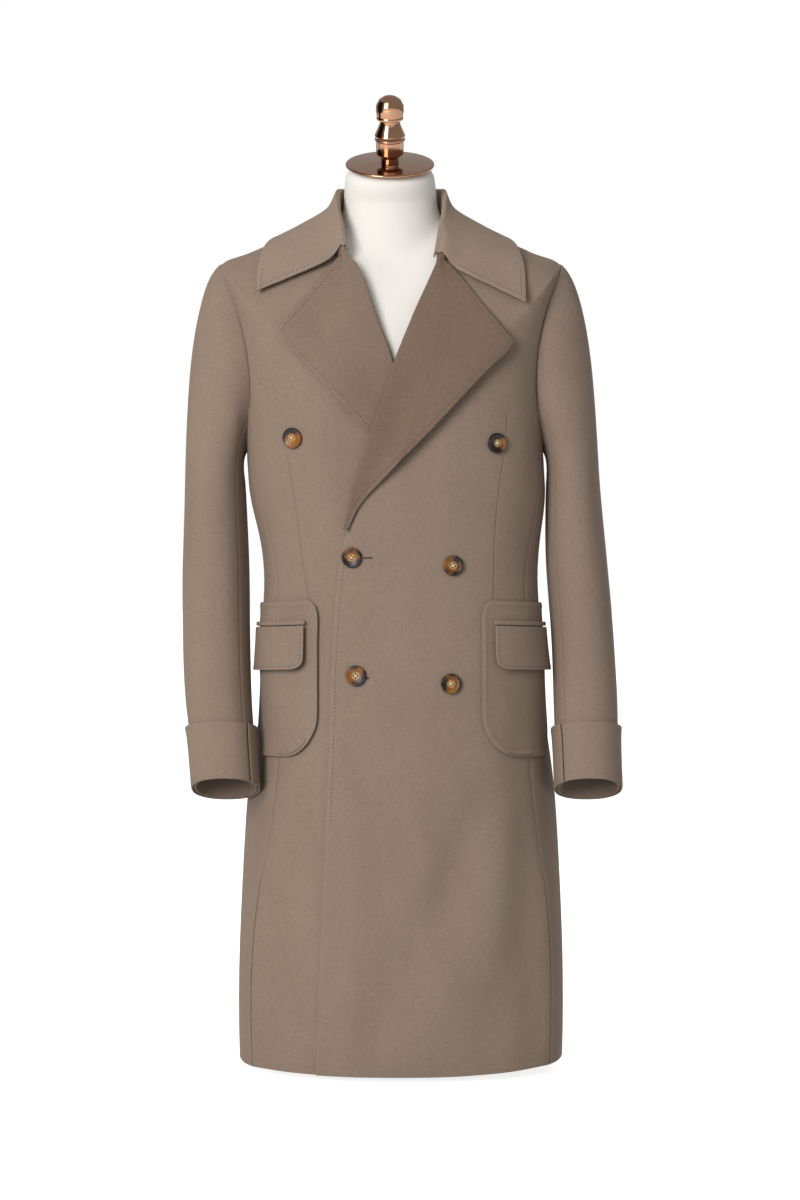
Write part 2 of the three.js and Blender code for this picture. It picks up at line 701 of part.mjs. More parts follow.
// The pocket's outline drawn in by inset, as points { a, z } that run once round it
function pocketOutline(inset) {
  const half = POCKET.half - inset;
  const top = POCKET.top - inset;
  const bottom = POCKET.bottom + inset;
  const corner = (radius) => Math.max(radius - inset, 0.5);
  const round = corner(POCKET.round);
  const sharp = corner(POCKET.turn);
  const arc = (x, z, radius, from, steps) =>
    spread(steps).map((t) => {
      const angle = radians(from + 90 * t);
      return { a: x + radius * Math.cos(angle), z: z + radius * Math.sin(angle) };
    });
  const line = (p, q, steps) =>
    spread(steps).slice(1, -1).map((t) => ({ a: lerp(p.a, q.a, t), z: lerp(p.z, q.z, t) }));
  const corners = [
    arc(half - sharp, top - sharp, sharp, 0, 1),
    arc(sharp - half, top - sharp, sharp, 90, 1),
    arc(round - half, bottom + round, round, 180, 5),
    arc(half - round, bottom + round, round, 270, 5),
  ];
  const steps = [9, 4, 4, 4];
  return corners.flatMap((list, i) => [
    ...list,
    ...line(list.at(-1), corners[(i + 1) % 4][0], steps[i]),
  ]);
}

function pocket(side) {
  const place = (inset, height) =>
    pocketOutline(inset).map(({ a, z }) => {
      const s = POCKET_MIDDLE[side] + side * a;
      return surface(s, ringAt(s, z - SLANT * a), height);
    });
  const lift = (inset) => POCKET_LAY + CUT + (inset < POCKET.edge ? POCKET.raise : 0);
  const rings = [
    ...[...POCKET_INSETS].reverse().map((inset) => place(inset, inset ? POCKET_LAY : EDGE_LAY)),
    ...POCKET_INSETS.map((inset) => place(inset, lift(inset))),
  ];
  return loft(rings);
}

const FLAP = { half: 70, top: 567, fall: 54, round: 14, shift: 4 };
function flap(side) {
  const rows = [0, 0.35, 0.7, 0.84, 0.94, 1];
  const base = POCKET_LAY + CUT + LAY + CUT;
  const grid = rows.map((r) => {
    const drop = r * FLAP.fall;
    const past = Math.max(drop - FLAP.fall + FLAP.round, 0);
    const cut = FLAP.round - Math.sqrt(Math.max(FLAP.round ** 2 - past ** 2, 0));
    return spread(10).map((t) => {
      const a = FLAP.shift + lerp(-1, 1, t) * (FLAP.half - cut);
      const s = POCKET_MIDDLE[side] + side * a;
      return surface(s, ringAt(s, FLAP.top - drop - SLANT * a), base + 0.5 + 3.4 * r * r);
    });
  });
  return thicken(grid, side, CUT);
}

const JET = { half: 71, top: 574, tall: 6, lift: 1.6 };
function jet(side) {
  const grid = spread(1).map((r) =>
    spread(10).map((t) => {
      const a = FLAP.shift + lerp(-JET.half, JET.half, t);
      const s = POCKET_MIDDLE[side] + side * a;
      const height = POCKET_LAY + CUT + LAY + 0.3 + JET.lift;
      return { s, v: ringAt(s, JET.top - r * JET.tall - SLANT * a), height };
    }),
  );
  return clothOn(grid, JET.lift);
}

// Buttons: dished, with a raised rim
const BUTTON_RADIUS = 13;
const BUTTON = table("radius height", [
  [0, 0],
  [11.6, 0],
  [13, 1.6],
  [12.6, 3.9],
  [11.2, 4.4],
  [9.4, 3.6],
  [5.5, 2.6],
  [0, 2.4],
]);
const BUTTONS = table("name x z rise", [
  ["button_top_left", 119, 798, -0.4],
  ["button_middle_left", 64.5, 646, 0.7],
  ["button_low_left", 62, 499, 0.5],
  ["button_top_right", -135, 804.5, -0.6],
  ["button_middle_right", -61, 656, 0.8],
  ["button_low_right", -56, 509, 0.5],
]);
const SEGMENTS = 20;
const lathe = (rows, across, up, segments = SEGMENTS) =>
  new THREE.LatheGeometry(rows.map((row) => new THREE.Vector2(row[across], row[up])), segments);

function button({ x, z, rise }) {
  const { s, v } = onFront(x, z);
  const geometry = lathe(BUTTON, "radius", "height");
  const turn = new THREE.Quaternion().setFromUnitVectors(vec(0, 1, 0), normalAt(s, v));
  geometry.applyQuaternion(turn);
  const place = surface(s, v, rise);
  return geometry.translate(place.x, place.y, place.z);
}

// Form: the coat's rings drawn in, then the neck's own rings up to the slanted cap
const FORM_ROWS = [13.875, 13, 12, 11, 10, 9, 8, 7, 6, 5, 4.4, 4, 3.5, 3, 2.5, 2, 1.5, 1, 0.5, 0];
const FORM_ROUND = 30;
const NECK_RINGS = table("x y z half deep tilt", [
  [-13, 2, 1102, 59.5, 53, 4],
  [-13.5, 0, 1113, 59.5, 54, 10],
  [-14, -6, 1128, 58, 54.5, 16],
  [-14, -14, 1150, 55.5, 54.5, 22],
]);
const CAP = vec(-14, -14, 1150);

function form() {
  const turns = Array.from({ length: FORM_ROUND }, (_, i) => (i / FORM_ROUND) * 2 * Math.PI);
  const body = FORM_ROWS.map((v) =>
    turns.map((turn) => {
      const front = Math.abs(Math.cos(turn)) ** 0.7;
      const ease = lerp(column(RINGS, "ease", v), column(RINGS, "easeFront", v), front);
      const s = turn <= Math.PI ? turn : turn - 2 * Math.PI;
      return surface(arcAt(s, v), v, -ease);
    }),
  );
  const neck = NECK_RINGS.map(({ x, y, z, half, deep, tilt }) =>
    turns.map((turn) => {
      const fore = deep * Math.cos(turn);
      const lean = radians(tilt);
      return vec(x + half * Math.sin(turn), y - fore * Math.cos(lean), z - fore * Math.sin(lean));
    }),
  );
  return loft([...body, ...neck]);
}

// The length round ring v at a turn between half a turn back and half a turn on
function arcAt(turn, v) {
  const step = (Math.abs(turn) / (2 * Math.PI)) * ARC_STEPS;
  const i = Math.min(Math.floor(step), ARC_STEPS - 1);
  return Math.sign(turn) * lerp(arcOf(v)[i], arcOf(v)[i + 1], step - i);
}

// Puts a lathed piece on the neck's slant
function onNeck(geometry, rise) {
  const tilt = radians(CAP_TILT);
  const seat = vec(0, -Math.sin(tilt), Math.cos(tilt)).multiplyScalar(rise).add(CAP);
  return geometry.rotateX(Math.PI / 2 + tilt).translate(seat.x, seat.y, seat.z);
}

const CAP_SHAPE = table("radius height", [
  [0, 0],
  [CAP_RADIUS - 1, 0],
  [CAP_RADIUS, 1],
  [CAP_RADIUS, CAP_HEIGHT - 1],
  [CAP_RADIUS - 1, CAP_HEIGHT],
  [0, CAP_HEIGHT],
]);
const FINIAL = table("height radius", [
  [0, 0],
  [0, 11.5],
  [7, 11],
  [12, 17.4],
  [29, 17.6],
  [30, 19.3],
  [31.8, 19.3],
  [33, 17.6],
  [36, 19.5],
  [46, 15],
  [53, 12.4],
  [55.6, 12.3],
  [56.4, 16.6],
  [59.2, 17],
  [60.4, 16.2],
  [67, 17.7],
  [75, 17.4],
  [82, 13.6],
  [86, 7.4],
  [87.5, 0],
]);
const BASE = table("radius height", [
  [0, 0],
  [BASE_RADIUS, 0],
  [BASE_RADIUS, BASE_HEIGHT - 2],
  [BASE_RADIUS - 3, BASE_HEIGHT],
  [0, BASE_HEIGHT],
]);

// Materials
const cloth = () => new THREE.MeshStandardMaterial({ color: 0x8a7666, roughness: 0.95 });
const linen = () => new THREE.MeshStandardMaterial({ color: 0xe0dcd2, roughness: 0.8 });
const horn = () => new THREE.MeshStandardMaterial({ color: 0x6b4526, roughness: 0.3 });
const steel = () => new THREE.MeshStandardMaterial({ color: 0x55585c, roughness: 0.4, metalness: 1 });
const copper = () =>
  new THREE.MeshStandardMaterial({ color: 0x8f5a41, roughness: 0.2, metalness: 1 });

const coat = new THREE.Group();
function add(name, geometry, material) {
  const mesh = new THREE.Mesh(geometry, material);
  mesh.name = name;
  coat.add(mesh);
  return mesh;
}
add("front_left", front(LEFT_EDGE), cloth());
add("front_right", front(RIGHT_EDGE), cloth());
add("side_left", sideBody(1), cloth());
add("side_right", sideBody(-1), cloth());
add("back_left", back(1), cloth());
add("back_right", back(-1), cloth());
for (const [name, side] of [["left", 1], ["right", -1]]) {
  add(`sleeve_top_${name}`, sleeve(side, TOP_ANGLES), cloth());
  add(`sleeve_under_${name}`, sleeve(side, UNDER_ANGLES), cloth());
  add(`cuff_${name}`, cuff(side), cloth());
  add(`pocket_${name}`, pocket(side), cloth());
  add(`flap_${name}`, flap(side), cloth());
  add(`jet_${name}`, jet(side), cloth());
}
add("lapel_left", lapel(LEFT_LAPEL, 1, () => 0), cloth());
add("lapel_right", lapel(RIGHT_LAPEL, -1, (s, v) => -sink(s, v)), cloth());
add("collar", collar(), cloth());
for (const row of BUTTONS) add(row.name, button(row), horn());

add("form", form(), linen());
add("neck_cap", onNeck(lathe(CAP_SHAPE, "radius", "height", 40), TOUCH), copper());
add("finial", onNeck(lathe(FINIAL, "radius", "height", 20), 2 * TOUCH + CAP_HEIGHT), copper());
const poleTall = FORM_BOTTOM - BASE_HEIGHT - 2 * TOUCH;
const pole = new THREE.CylinderGeometry(POLE_RADIUS, POLE_RADIUS, poleTall, 24);
pole.rotateX(Math.PI / 2).translate(0, 0, (FORM_BOTTOM + BASE_HEIGHT) / 2);
add("stand_pole", pole, steel());
add("stand_base", lathe(BASE, "radius", "height", 40).rotateX(Math.PI / 2), steel());

export default coat;
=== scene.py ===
# %% [markdown]
# # A double-breasted overcoat on a dress form
# The coat is napped wool in a warm grey brown. It hangs closed on a limbless form with a
# copper cap and finial, over a short stand. The CAD model gives every cut piece its place,
# so this script only turns each piece into soft cloth and gives every surface its finish.

from math import atan2, cos, hypot, pi, radians, sin

import bpy
import numpy as np
from mathutils import Matrix, Vector
from mathutils.bvhtree import BVHTree
from mathutils.kdtree import KDTree


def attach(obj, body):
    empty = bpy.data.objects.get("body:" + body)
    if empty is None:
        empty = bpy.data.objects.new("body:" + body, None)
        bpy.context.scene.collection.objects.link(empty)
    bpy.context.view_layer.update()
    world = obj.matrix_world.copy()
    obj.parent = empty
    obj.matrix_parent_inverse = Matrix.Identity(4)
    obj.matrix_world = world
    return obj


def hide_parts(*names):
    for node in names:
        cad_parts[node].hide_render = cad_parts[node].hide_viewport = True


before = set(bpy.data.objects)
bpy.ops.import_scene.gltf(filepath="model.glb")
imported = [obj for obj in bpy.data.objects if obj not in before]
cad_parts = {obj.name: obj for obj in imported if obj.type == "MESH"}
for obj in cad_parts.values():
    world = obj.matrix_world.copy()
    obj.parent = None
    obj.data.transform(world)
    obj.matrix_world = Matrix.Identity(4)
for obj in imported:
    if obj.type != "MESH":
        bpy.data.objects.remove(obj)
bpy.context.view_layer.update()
MM = 0.001
SIDES = {"left": 1, "right": -1}

# %% [markdown]
# ## The camera
# The photograph was taken level with the coat's waist from about four metres. A long lens
# keeps the hem and the shoulders in true proportion. The camera is aimed a little down,
# so that the whole frame falls on the coat without any lens shift.

# %% Place the camera
EYE = Vector((-1.2, -4000, 752.4)) * MM
AIM_DROP = 153.6 * MM
camera = bpy.data.objects.new("camera", bpy.data.cameras.new("camera"))
bpy.context.scene.collection.objects.link(camera)
camera.location = EYE
camera.rotation_euler = (pi / 2 - atan2(AIM_DROP, 4.0), 0, 0)
camera.data.sensor_fit = "VERTICAL"
camera.data.sensor_height = 36
camera.data.lens = 36 * 4.0 / 1.536 * hypot(4.0, AIM_DROP) / 4.0
camera.data.clip_end = 100
bpy.context.scene.camera = camera
print("lens", round(camera.data.lens, 2), "mm")

# %% [markdown]
# ## A way to write shader maths
# Finishes are sums and products of a few patterns. A small class wraps a socket, so that
# ordinary Python signs add the maths nodes, and one method adds any other node.


# %% Wrap a socket
class Wire:
    """An output of a node that can be added, multiplied and so on."""

    def __init__(self, finish, socket):
        self.finish, self.socket = finish, socket

    def maths(self, operation, *values):
        return self.finish.node("ShaderNodeMath", {"operation": operation}, values)

    def __add__(self, other):
        return self.maths("ADD", self, other)

    def __radd__(self, other):
        return self.maths("ADD", other, self)

    def __sub__(self, other):
        return self.maths("SUBTRACT", self, other)

    def __rsub__(self, other):
        return self.maths("SUBTRACT", other, self)

    def __mul__(self, other):
        return self.maths("MULTIPLY", self, other)

    def __rmul__(self, other):
        return self.maths("MULTIPLY", other, self)

    def __truediv__(self, other):
        return self.maths("DIVIDE", self, other)

    def __gt__(self, other):
        return self.maths("GREATER_THAN", self, other)

    def __lt__(self, other):
        return self.maths("LESS_THAN", self, other)

    def size(self):
        return self.maths("ABSOLUTE", self)


class Finish:
    """A material and the nodes that make it."""

    def __init__(self, name, **constants):
        self.material = bpy.data.materials.new(name)
        self.material.use_nodes = True
        self.tree = self.material.node_tree
        self.shader = self.tree.nodes["Principled BSDF"]
        for socket, value in constants.items():
            self.shader.inputs[socket.replace("_", " ")].default_value = value

    def node(self, kind, settings=None, inputs=(), output=0):
        made = self.tree.nodes.new(kind)
        for name, value in (settings or {}).items():
            if name == "stops":
                ramp = made.color_ramp.elements
                while len(ramp) < len(value):
                    ramp.new(0.5)
                for stop, (place, colour) in zip(ramp, value):
                    stop.position, stop.color = place, colour
            elif name == "curve":
                line = made.mapping.curves[0].points
                while len(line) < len(value):
                    line.new(0.5, 0.5)
                for point, place in zip(line, value):
                    point.location = place
                made.mapping.update()
            else:
                setattr(made, name, value)
        pairs = inputs.items() if isinstance(inputs, dict) else enumerate(inputs)
        for socket, value in pairs:
            self.plug(made.inputs[socket], value)
        return Wire(self, made.outputs[output])

    def plug(self, socket, value):
        if isinstance(value, Wire):
            self.tree.links.new(value.socket, socket)
        else:
            socket.default_value = value

    def set(self, **wires):
        for socket, wire in wires.items():
            self.plug(self.shader.inputs[socket.replace("_", " ")], wire)
        return self.material

    def place(self, stretch=(1, 1, 1)):
        """The piece's own coordinates, in metres, stretched."""
        where = self.node("ShaderNodeTexCoord", output="Object")
        return self.node("ShaderNodeMapping", None, {"Vector": where, "Scale": stretch})

    def noise(self, scale, detail=2.0, stretch=(1, 1, 1), rough=0.5):
        settings = {"Vector": self.place(stretch), "Scale": scale, "Detail": detail}
        return self.node("ShaderNodeTexNoise", None, {**settings, "Roughness": rough})

    def blend(self, factor, first, second):
        """A mix of two colours."""
        sockets = {0: factor, 6: first, 7: second}
        return self.node("ShaderNodeMix", {"data_type": "RGBA"}, sockets, 2)

    def bump(self, height, depth, strength=1.0):
        sockets = {"Height": height, "Distance": depth, "Strength": strength}
        return self.node("ShaderNodeBump", None, sockets)


def paint(red, green, blue):
    """A colour as it is seen, from 0 to 255, turned into the light it gives back."""
    seen = [c / 255 for c in (red, green, blue)]
    return [c / 12.92 if c < 0.04045 else ((c + 0.055) / 1.055) ** 2.4 for c in seen] + [1]


# %% [markdown]
# ## Coat cloth
# Melton wool is woven, felted and brushed, so no threads show. What shows is a short nap:
# a fine grain, slightly longer along the grain line, soft clouds where the nap lies
# another way, and a pale bloom where the surface turns away, which is the sheen.

# %% Make the coat cloth
DARTS = {
    1: [(560, 115), (598, 116), (691, 118), (752, 124), (802, 131), (836, 132)],
    -1: [(560, -113), (599, -115), (665, -125), (725, -132), (785, -142)],
}


def coat_cloth(name, light, dark, dart=None):
    """The coat's wool in a light and a dark tone, with a dart line of painted shade where there is
    one.
    """
    cloth = Finish(name, Roughness=0.92, Sheen_Weight=0.22, Sheen_Roughness=0.45)
    cloth.shader.inputs["Sheen Tint"].default_value = paint(206, 192, 176)
    cloth.shader.inputs["Specular IOR Level"].default_value = 0.15
    grain = cloth.noise(620, 3, (1, 1, 0.55), 0.65)
    fluff = cloth.noise(210, 3, (1, 1, 0.7), 0.6)
    cloud = cloth.noise(16, 3, (1, 1, 0.5))
    tone = grain * 0.5 + fluff * 0.25 + cloud * 0.25
    colour = cloth.blend((tone - 0.32) * 2.6, paint(*dark), paint(*light))
    height = grain * 0.5 + fluff * 0.5
    if dart:
        # A dart is sewn from inside, so only a fine line shows where the cloth dips. The dip is a
        # bump, and the colour along it is darkened as painted shade
        low, high = dart[0][0], dart[-1][0]
        span = max(abs(x) for _, x in dart)
        place = cloth.node("ShaderNodeTexCoord", output="Object")
        across = cloth.node("ShaderNodeSeparateXYZ", None, [place], 0)
        up = cloth.node("ShaderNodeSeparateXYZ", None, [place], 2)
        rise = (up * 1000 - low) / (high - low)
        line = [((z - low) / (high - low), abs(x) / span) for z, x in dart]
        fit = cloth.node("ShaderNodeFloatCurve", {"curve": line}, {"Value": rise})
        off = (across.size() * 1000 - fit * span).size()
        near = (1 - off / 1.6).maths("MAXIMUM", 1 - off / 1.6, 0.0)
        inside = (rise > 0.0) * (rise < 1.0)
        height = height - near * inside * 2.2
        # Painted shade: the colour is darkened along the dart's dip
        colour = cloth.blend(near * inside * 0.28, colour, paint(96, 80, 68))
    return cloth.set(Base_Color=colour, Normal=cloth.bump(height, 0.00045, 0.55))


WOOL = (146, 128, 113), (126, 108, 94)
# The lapels' nap lies upwards, which darkens them. The wearer's left lapel, on the side away from
# the lamp, also has painted shade: a tone darker than the right one
NAP_UP_AND_SHADE_LEFT = (126, 107, 92), (106, 87, 74)
NAP_UP_AND_SHADE_RIGHT = (138, 119, 104), (118, 99, 86)
NAP_DOWN = (154, 135, 120), (134, 116, 102)
cloth_of = {
    "plain": coat_cloth("coat_cloth", *WOOL),
    "lapel_left": coat_cloth("coat_cloth_lapel_left", *NAP_UP_AND_SHADE_LEFT),
    "lapel_right": coat_cloth("coat_cloth_lapel_right", *NAP_UP_AND_SHADE_RIGHT),
    "collar": coat_cloth("coat_cloth_collar", *NAP_DOWN),
    "front_left": coat_cloth("coat_cloth_front_left", *WOOL, DARTS[1]),
    "front_right": coat_cloth("coat_cloth_front_right", *WOOL, DARTS[-1]),
}
print("cloths", sorted(cloth_of))

# %% [markdown]
# ## From a solid to cloth
# Each cut piece is a solid sheet in the CAD model. A copy of it is merged and made into
# squares, and everything but its outer face is cut away. That face is then subdivided. A
# subdivided surface shrinks away from its corners, so the cage is first pushed out until
# the smooth surface goes through the points that the cage had.


# %% Helpers for working on one object
def only(piece):
    """Selects one object and makes it the active one."""
    if bpy.context.object and bpy.context.object.mode != "OBJECT":
        bpy.ops.object.mode_set(mode="OBJECT")
    bpy.ops.object.select_all(action="DESELECT")
    bpy.context.view_layer.objects.active = piece
    piece.select_set(True)
    return piece


def edit(piece, mode="FACE", chosen="DESELECT"):
    """Goes into edit mode with nothing or everything selected."""
    only(piece)
    bpy.ops.object.mode_set(mode="EDIT")
    bpy.ops.mesh.select_mode(type=mode)
    bpy.ops.mesh.select_all(action=chosen)


def done():
    bpy.ops.object.mode_set(mode="OBJECT")


def finish_with(piece, kind, **settings):
    """Adds one modifier and applies it."""
    only(piece)
    modifier = piece.modifiers.new(kind.lower(), kind)
    for name, value in settings.items():
        setattr(modifier, name, value)
    bpy.ops.object.modifier_apply(modifier=modifier.name)


def points_of(mesh):
    points = np.empty(len(mesh.vertices) * 3)
    mesh.vertices.foreach_get("co", points)
    return points.reshape(-1, 3)


def normals_of(mesh):
    normals = np.empty(len(mesh.vertices) * 3)
    mesh.vertices.foreach_get("normal", normals)
    return normals.reshape(-1, 3)


def move_points(piece, points):
    piece.data.vertices.foreach_set("co", points.ravel())
    piece.data.update()


# %% Keep the outer face of a cut piece
def copy_of(node):
    """A copy of a solid, merged and made into squares."""
    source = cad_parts[node]
    piece = bpy.data.objects.new(node + "_cloth", source.data.copy())
    bpy.context.scene.collection.objects.link(piece)
    piece.data.materials.clear()
    edit(piece, "VERT", "SELECT")
    bpy.ops.mesh.remove_doubles(threshold=0.00002)
    bpy.ops.mesh.select_mode(type="FACE")
    bpy.ops.mesh.tris_convert_to_quads(
        face_threshold=radians(50), shape_threshold=radians(60)
    )
    done()
    return piece


def outer_face(node, towards, bend=56):
    """Grows from the face that looks most towards a direction, up to the first sharp edge."""
    piece = copy_of(node)
    towards = Vector(towards)
    faces = [f for f in piece.data.polygons if f.normal.dot(towards) > 0.75]
    seed = max(faces, key=lambda f: f.center.dot(towards) + f.area).index
    edit(piece)
    done()
    piece.data.polygons[seed].select = True
    bpy.ops.object.mode_set(mode="EDIT")
    bpy.ops.mesh.faces_select_linked_flat(sharpness=radians(bend))
    bpy.ops.mesh.select_all(action="INVERT")
    bpy.ops.mesh.delete(type="FACE")
    done()
    return piece


# %% Find the open edge of a face, its corners and its middle
def edge_neighbours(mesh):
    """For each point on the open edge of a face, the points next to it on that edge."""
    uses, beside = {}, {}
    for face in mesh.polygons:
        for key in face.edge_keys:
            uses[key] = uses.get(key, 0) + 1
    for (a, b), count in uses.items():
        if count == 1:
            beside.setdefault(a, []).append(b)
            beside.setdefault(b, []).append(a)
    return beside


def choose(piece, numbers):
    """Goes into edit mode with just these points selected."""
    edit(piece, "VERT")
    done()
    for i in numbers:
        piece.data.vertices[i].select = True
    bpy.ops.object.mode_set(mode="EDIT")


def crease_corners(piece, turn=radians(35)):
    """Keeps the corners of a face's outline sharp when it is subdivided."""
    corners = []
    for v, near in edge_neighbours(piece.data).items():
        before, here, after = (piece.data.vertices[i].co for i in (near[0], v, near[-1]))
        if (here - before).angle(after - here) > turn:
            corners.append(v)
    choose(piece, corners)
    bpy.ops.transform.vert_crease(value=1)
    done()
    return len(corners)


def settle(piece, rounds):
    """Evens out a face inside its edge."""
    rim = edge_neighbours(piece.data)
    choose(piece, [i for i in range(len(piece.data.vertices)) if i not in rim])
    bpy.ops.mesh.vertices_smooth(factor=0.5, repeat=rounds)
    done()


# %% Subdivide each face through its own points
REACH = 4 * MM


def smooth_through(piece, levels):
    """Subdivides a face so that the smooth surface keeps to the points it had.

    The cage is never pushed out by more than REACH, so that no corner grows a spike.
    """
    only(piece)
    wanted = points_of(piece.data)
    cage = wanted.copy()
    smooth = piece.modifiers.new("smooth", "SUBSURF")
    smooth.levels = smooth.render_levels = levels
    smooth.boundary_smooth = "PRESERVE_CORNERS"
    for _ in range(3):
        seen = piece.evaluated_get(bpy.context.evaluated_depsgraph_get())
        push = cage - points_of(seen.data)[: len(wanted)]
        far = np.linalg.norm(push, axis=1, keepdims=True)
        cage = wanted + push * np.minimum(1, REACH / np.maximum(far, 1e-9))
        move_points(piece, cage)
        bpy.context.view_layer.update()
    bpy.ops.object.modifier_apply(modifier=smooth.name)


print("cage pushed out by at most", REACH / MM, "mm")

# %% [markdown]
# ## The gorge seam
# The gorge is the seam where a lapel meets the collar. In the CAD model the two only end
# side by side. Moving the collar would spoil its fall, so the lapel's top edge is extruded
# up instead, until it is hidden under the collar, and widened there to fill the corner.

# %% Draw the lapels up under the collar
GORGE = Vector((0, 2, 15)) * MM
NECK_END = {"lapel_left": (-5, 1.75), "lapel_right": (2, 1.2)}  # mm past the roll, widening
NEAR_TOP = 6 * MM
LEVEL = 0.6  # rise over length of an edge that still counts as level


def lengthen_to_neck(node, lapel):
    """Draws the lapel's top edge up under the collar, where the gorge seam joins them."""
    past_roll, wider = NECK_END[node]
    mesh = lapel.data
    top = max(v.co.z for v in mesh.vertices) - NEAR_TOP
    rim = edge_neighbours(mesh)
    roll = min(abs(mesh.vertices[v].co.x) for v in rim if mesh.vertices[v].co.z > top)
    choose(lapel, [])
    done()
    for edge in mesh.edges:
        a, b = edge.vertices
        ends = mesh.vertices[a].co, mesh.vertices[b].co
        lies = abs(ends[0].z - ends[1].z) < LEVEL * (ends[0] - ends[1]).length
        past = min(abs(end.x) for end in ends) > roll + past_roll * MM
        high = min(end.z for end in ends) > top
        edge.select = a in rim and b in rim and high and past and lies
    bpy.ops.object.mode_set(mode="EDIT")
    bpy.ops.mesh.select_mode(type="EDGE")
    bpy.ops.mesh.extrude_edges_move(TRANSFORM_OT_translate={"value": GORGE})
    bpy.ops.transform.resize(value=(wider, 1, 1))
    done()


print("lapels lengthened by", round(GORGE.length / MM, 1), "mm")

# %% [markdown]
# ## The middle of a pocket
# A pocket's solid has slivers in its middle, and points there that nearly touch. Both would
# pucker when the face is subdivided. Those points are merged, and the middle becomes one
# face, which leaves the pocket's rounded outline as it was.


# %% Join up the middle of a pocket
def edge_distance(piece):
    """How far each point lies from the face's open edge."""
    points = points_of(piece.data)
    rim = KDTree(len(points))
    for i in edge_neighbours(piece.data):
        rim.insert(points[i], i)
    rim.balance()
    return [rim.find(point)[2] for point in points]


DEEP, TOUCHING = 25 * MM, 1.5 * MM  # how deep in points are merged, and how near they lie
MIDDLE = 4 * MM  # the one face reaches this far out from the deepest point


def join_middle(pocket):
    """Makes the slivers in the pocket's middle one face, which subdivides evenly."""
    deep = edge_distance(pocket)
    choose(pocket, [i for i in range(len(deep)) if deep[i] > DEEP])
    bpy.ops.mesh.remove_doubles(threshold=TOUCHING)
    done()
    deep = edge_distance(pocket)
    middle = max(deep) - MIDDLE
    choose(pocket, [i for i in range(len(deep)) if deep[i] > middle])
    bpy.ops.mesh.select_mode(type="FACE")
    bpy.ops.mesh.dissolve_faces()
    done()


print("points nearer than", TOUCHING / MM, "mm are merged")

# %% Turn every cut piece into a smooth face
PIECES = {  # the way it faces, levels, rounds of evening out
    "front": ((0, -1, 0), 2, 16),
    "side": ((1, 0, 0), 2, 3),
    "back": ((0, 1, 0), 2, 8),
    "sleeve_top": ((1, 0, 0), 2, 3),
    "sleeve_under": ((-1, 0, 0), 2, 3),
    "cuff": ((1, 0, 0), 2, 0),
    "lapel": ((0, -1, 0), 3, 0),
    "pocket": ((0, -1, 0), 2, 0),
    "flap": ((0, -1, 0), 3, 0),
    "jet": ((0, -1, 0), 2, 0),
}
cloth = {}
for cut, (towards, levels, rounds) in PIECES.items():
    for name, side in SIDES.items():
        node = f"{cut}_{name}"
        piece = outer_face(node, (towards[0] * side, towards[1], 0))
        if cut == "lapel":
            print(node, "sharp corners", crease_corners(piece))
            lengthen_to_neck(node, piece)
        if cut == "pocket":
            join_middle(piece)
        smooth_through(piece, levels)
        if rounds:
            settle(piece, rounds)
        cloth[node] = piece
cloth["collar"] = outer_face("collar", (0, 1, 0))
smooth_through(cloth["collar"], 3)
print({name: len(piece.data.polygons) for name, piece in cloth.items()})

# %% [markdown]
# ## Patch pockets lie evenly
# A patch pocket is one flat piece sewn to two panels, so it follows them evenly and only
# its lapped edge stands up. Every point inside that edge is set to one height above the
# panels, which also evens out the corners where its cage had triangles.

# %% Lay the pockets evenly on the panels
EDGE_WIDTH = 8.5 * MM
LAID, LAP = 3.2 * MM, 0.45  # height above the panels, share of its height an edge keeps


def tree_of(*pieces):
    """One search tree over the faces of some pieces."""
    corners, faces = [], []
    for piece in pieces:
        faces += [[i + len(corners) for i in f.vertices] for f in piece.data.polygons]
        corners += [v.co.copy() for v in piece.data.vertices]
    return BVHTree.FromPolygons(corners, faces)


def lay_evenly(piece, under):
    """Sets a pocket at one height above the panels under it, except for its edge."""
    panels = tree_of(*under)
    inside = {i for i, deep in enumerate(edge_distance(piece)) if deep > EDGE_WIDTH}
    choose(piece, inside)
    bpy.ops.mesh.vertices_smooth(factor=0.5, repeat=12)
    done()
    points = points_of(piece.data)
    found = [panels.find_nearest(point) for point in points]
    height = float(np.median([found[i][3] for i in inside]))
    for i, (place, normal, _, _) in enumerate(found):
        above = (Vector(points[i]) - place).dot(normal)
        lap = 0 if i in inside else LAP * (above - height)
        points[i] += np.array(normal) * (LAID + lap - above)
    move_points(piece, points)
    choose(piece, inside)
    bpy.ops.mesh.vertices_smooth(factor=0.5, repeat=8)
    done()
    return height


for name in SIDES:
    under = [cloth[f"{cut}_{name}"] for cut in ("front", "side", "back")]
    print("pocket", name, round(lay_evenly(cloth[f"pocket_{name}"], under) / MM, 2), "mm up")

# %% [markdown]
# ## Folds
# Heavy wool on a form hangs in a few long, shallow swells. Each is given by two points, a
# width and a height. A point of the cloth near that line moves out by the height, or in
# where it is below nothing. Pieces that lie on one another move as one, because the line
# acts on all that is near it.

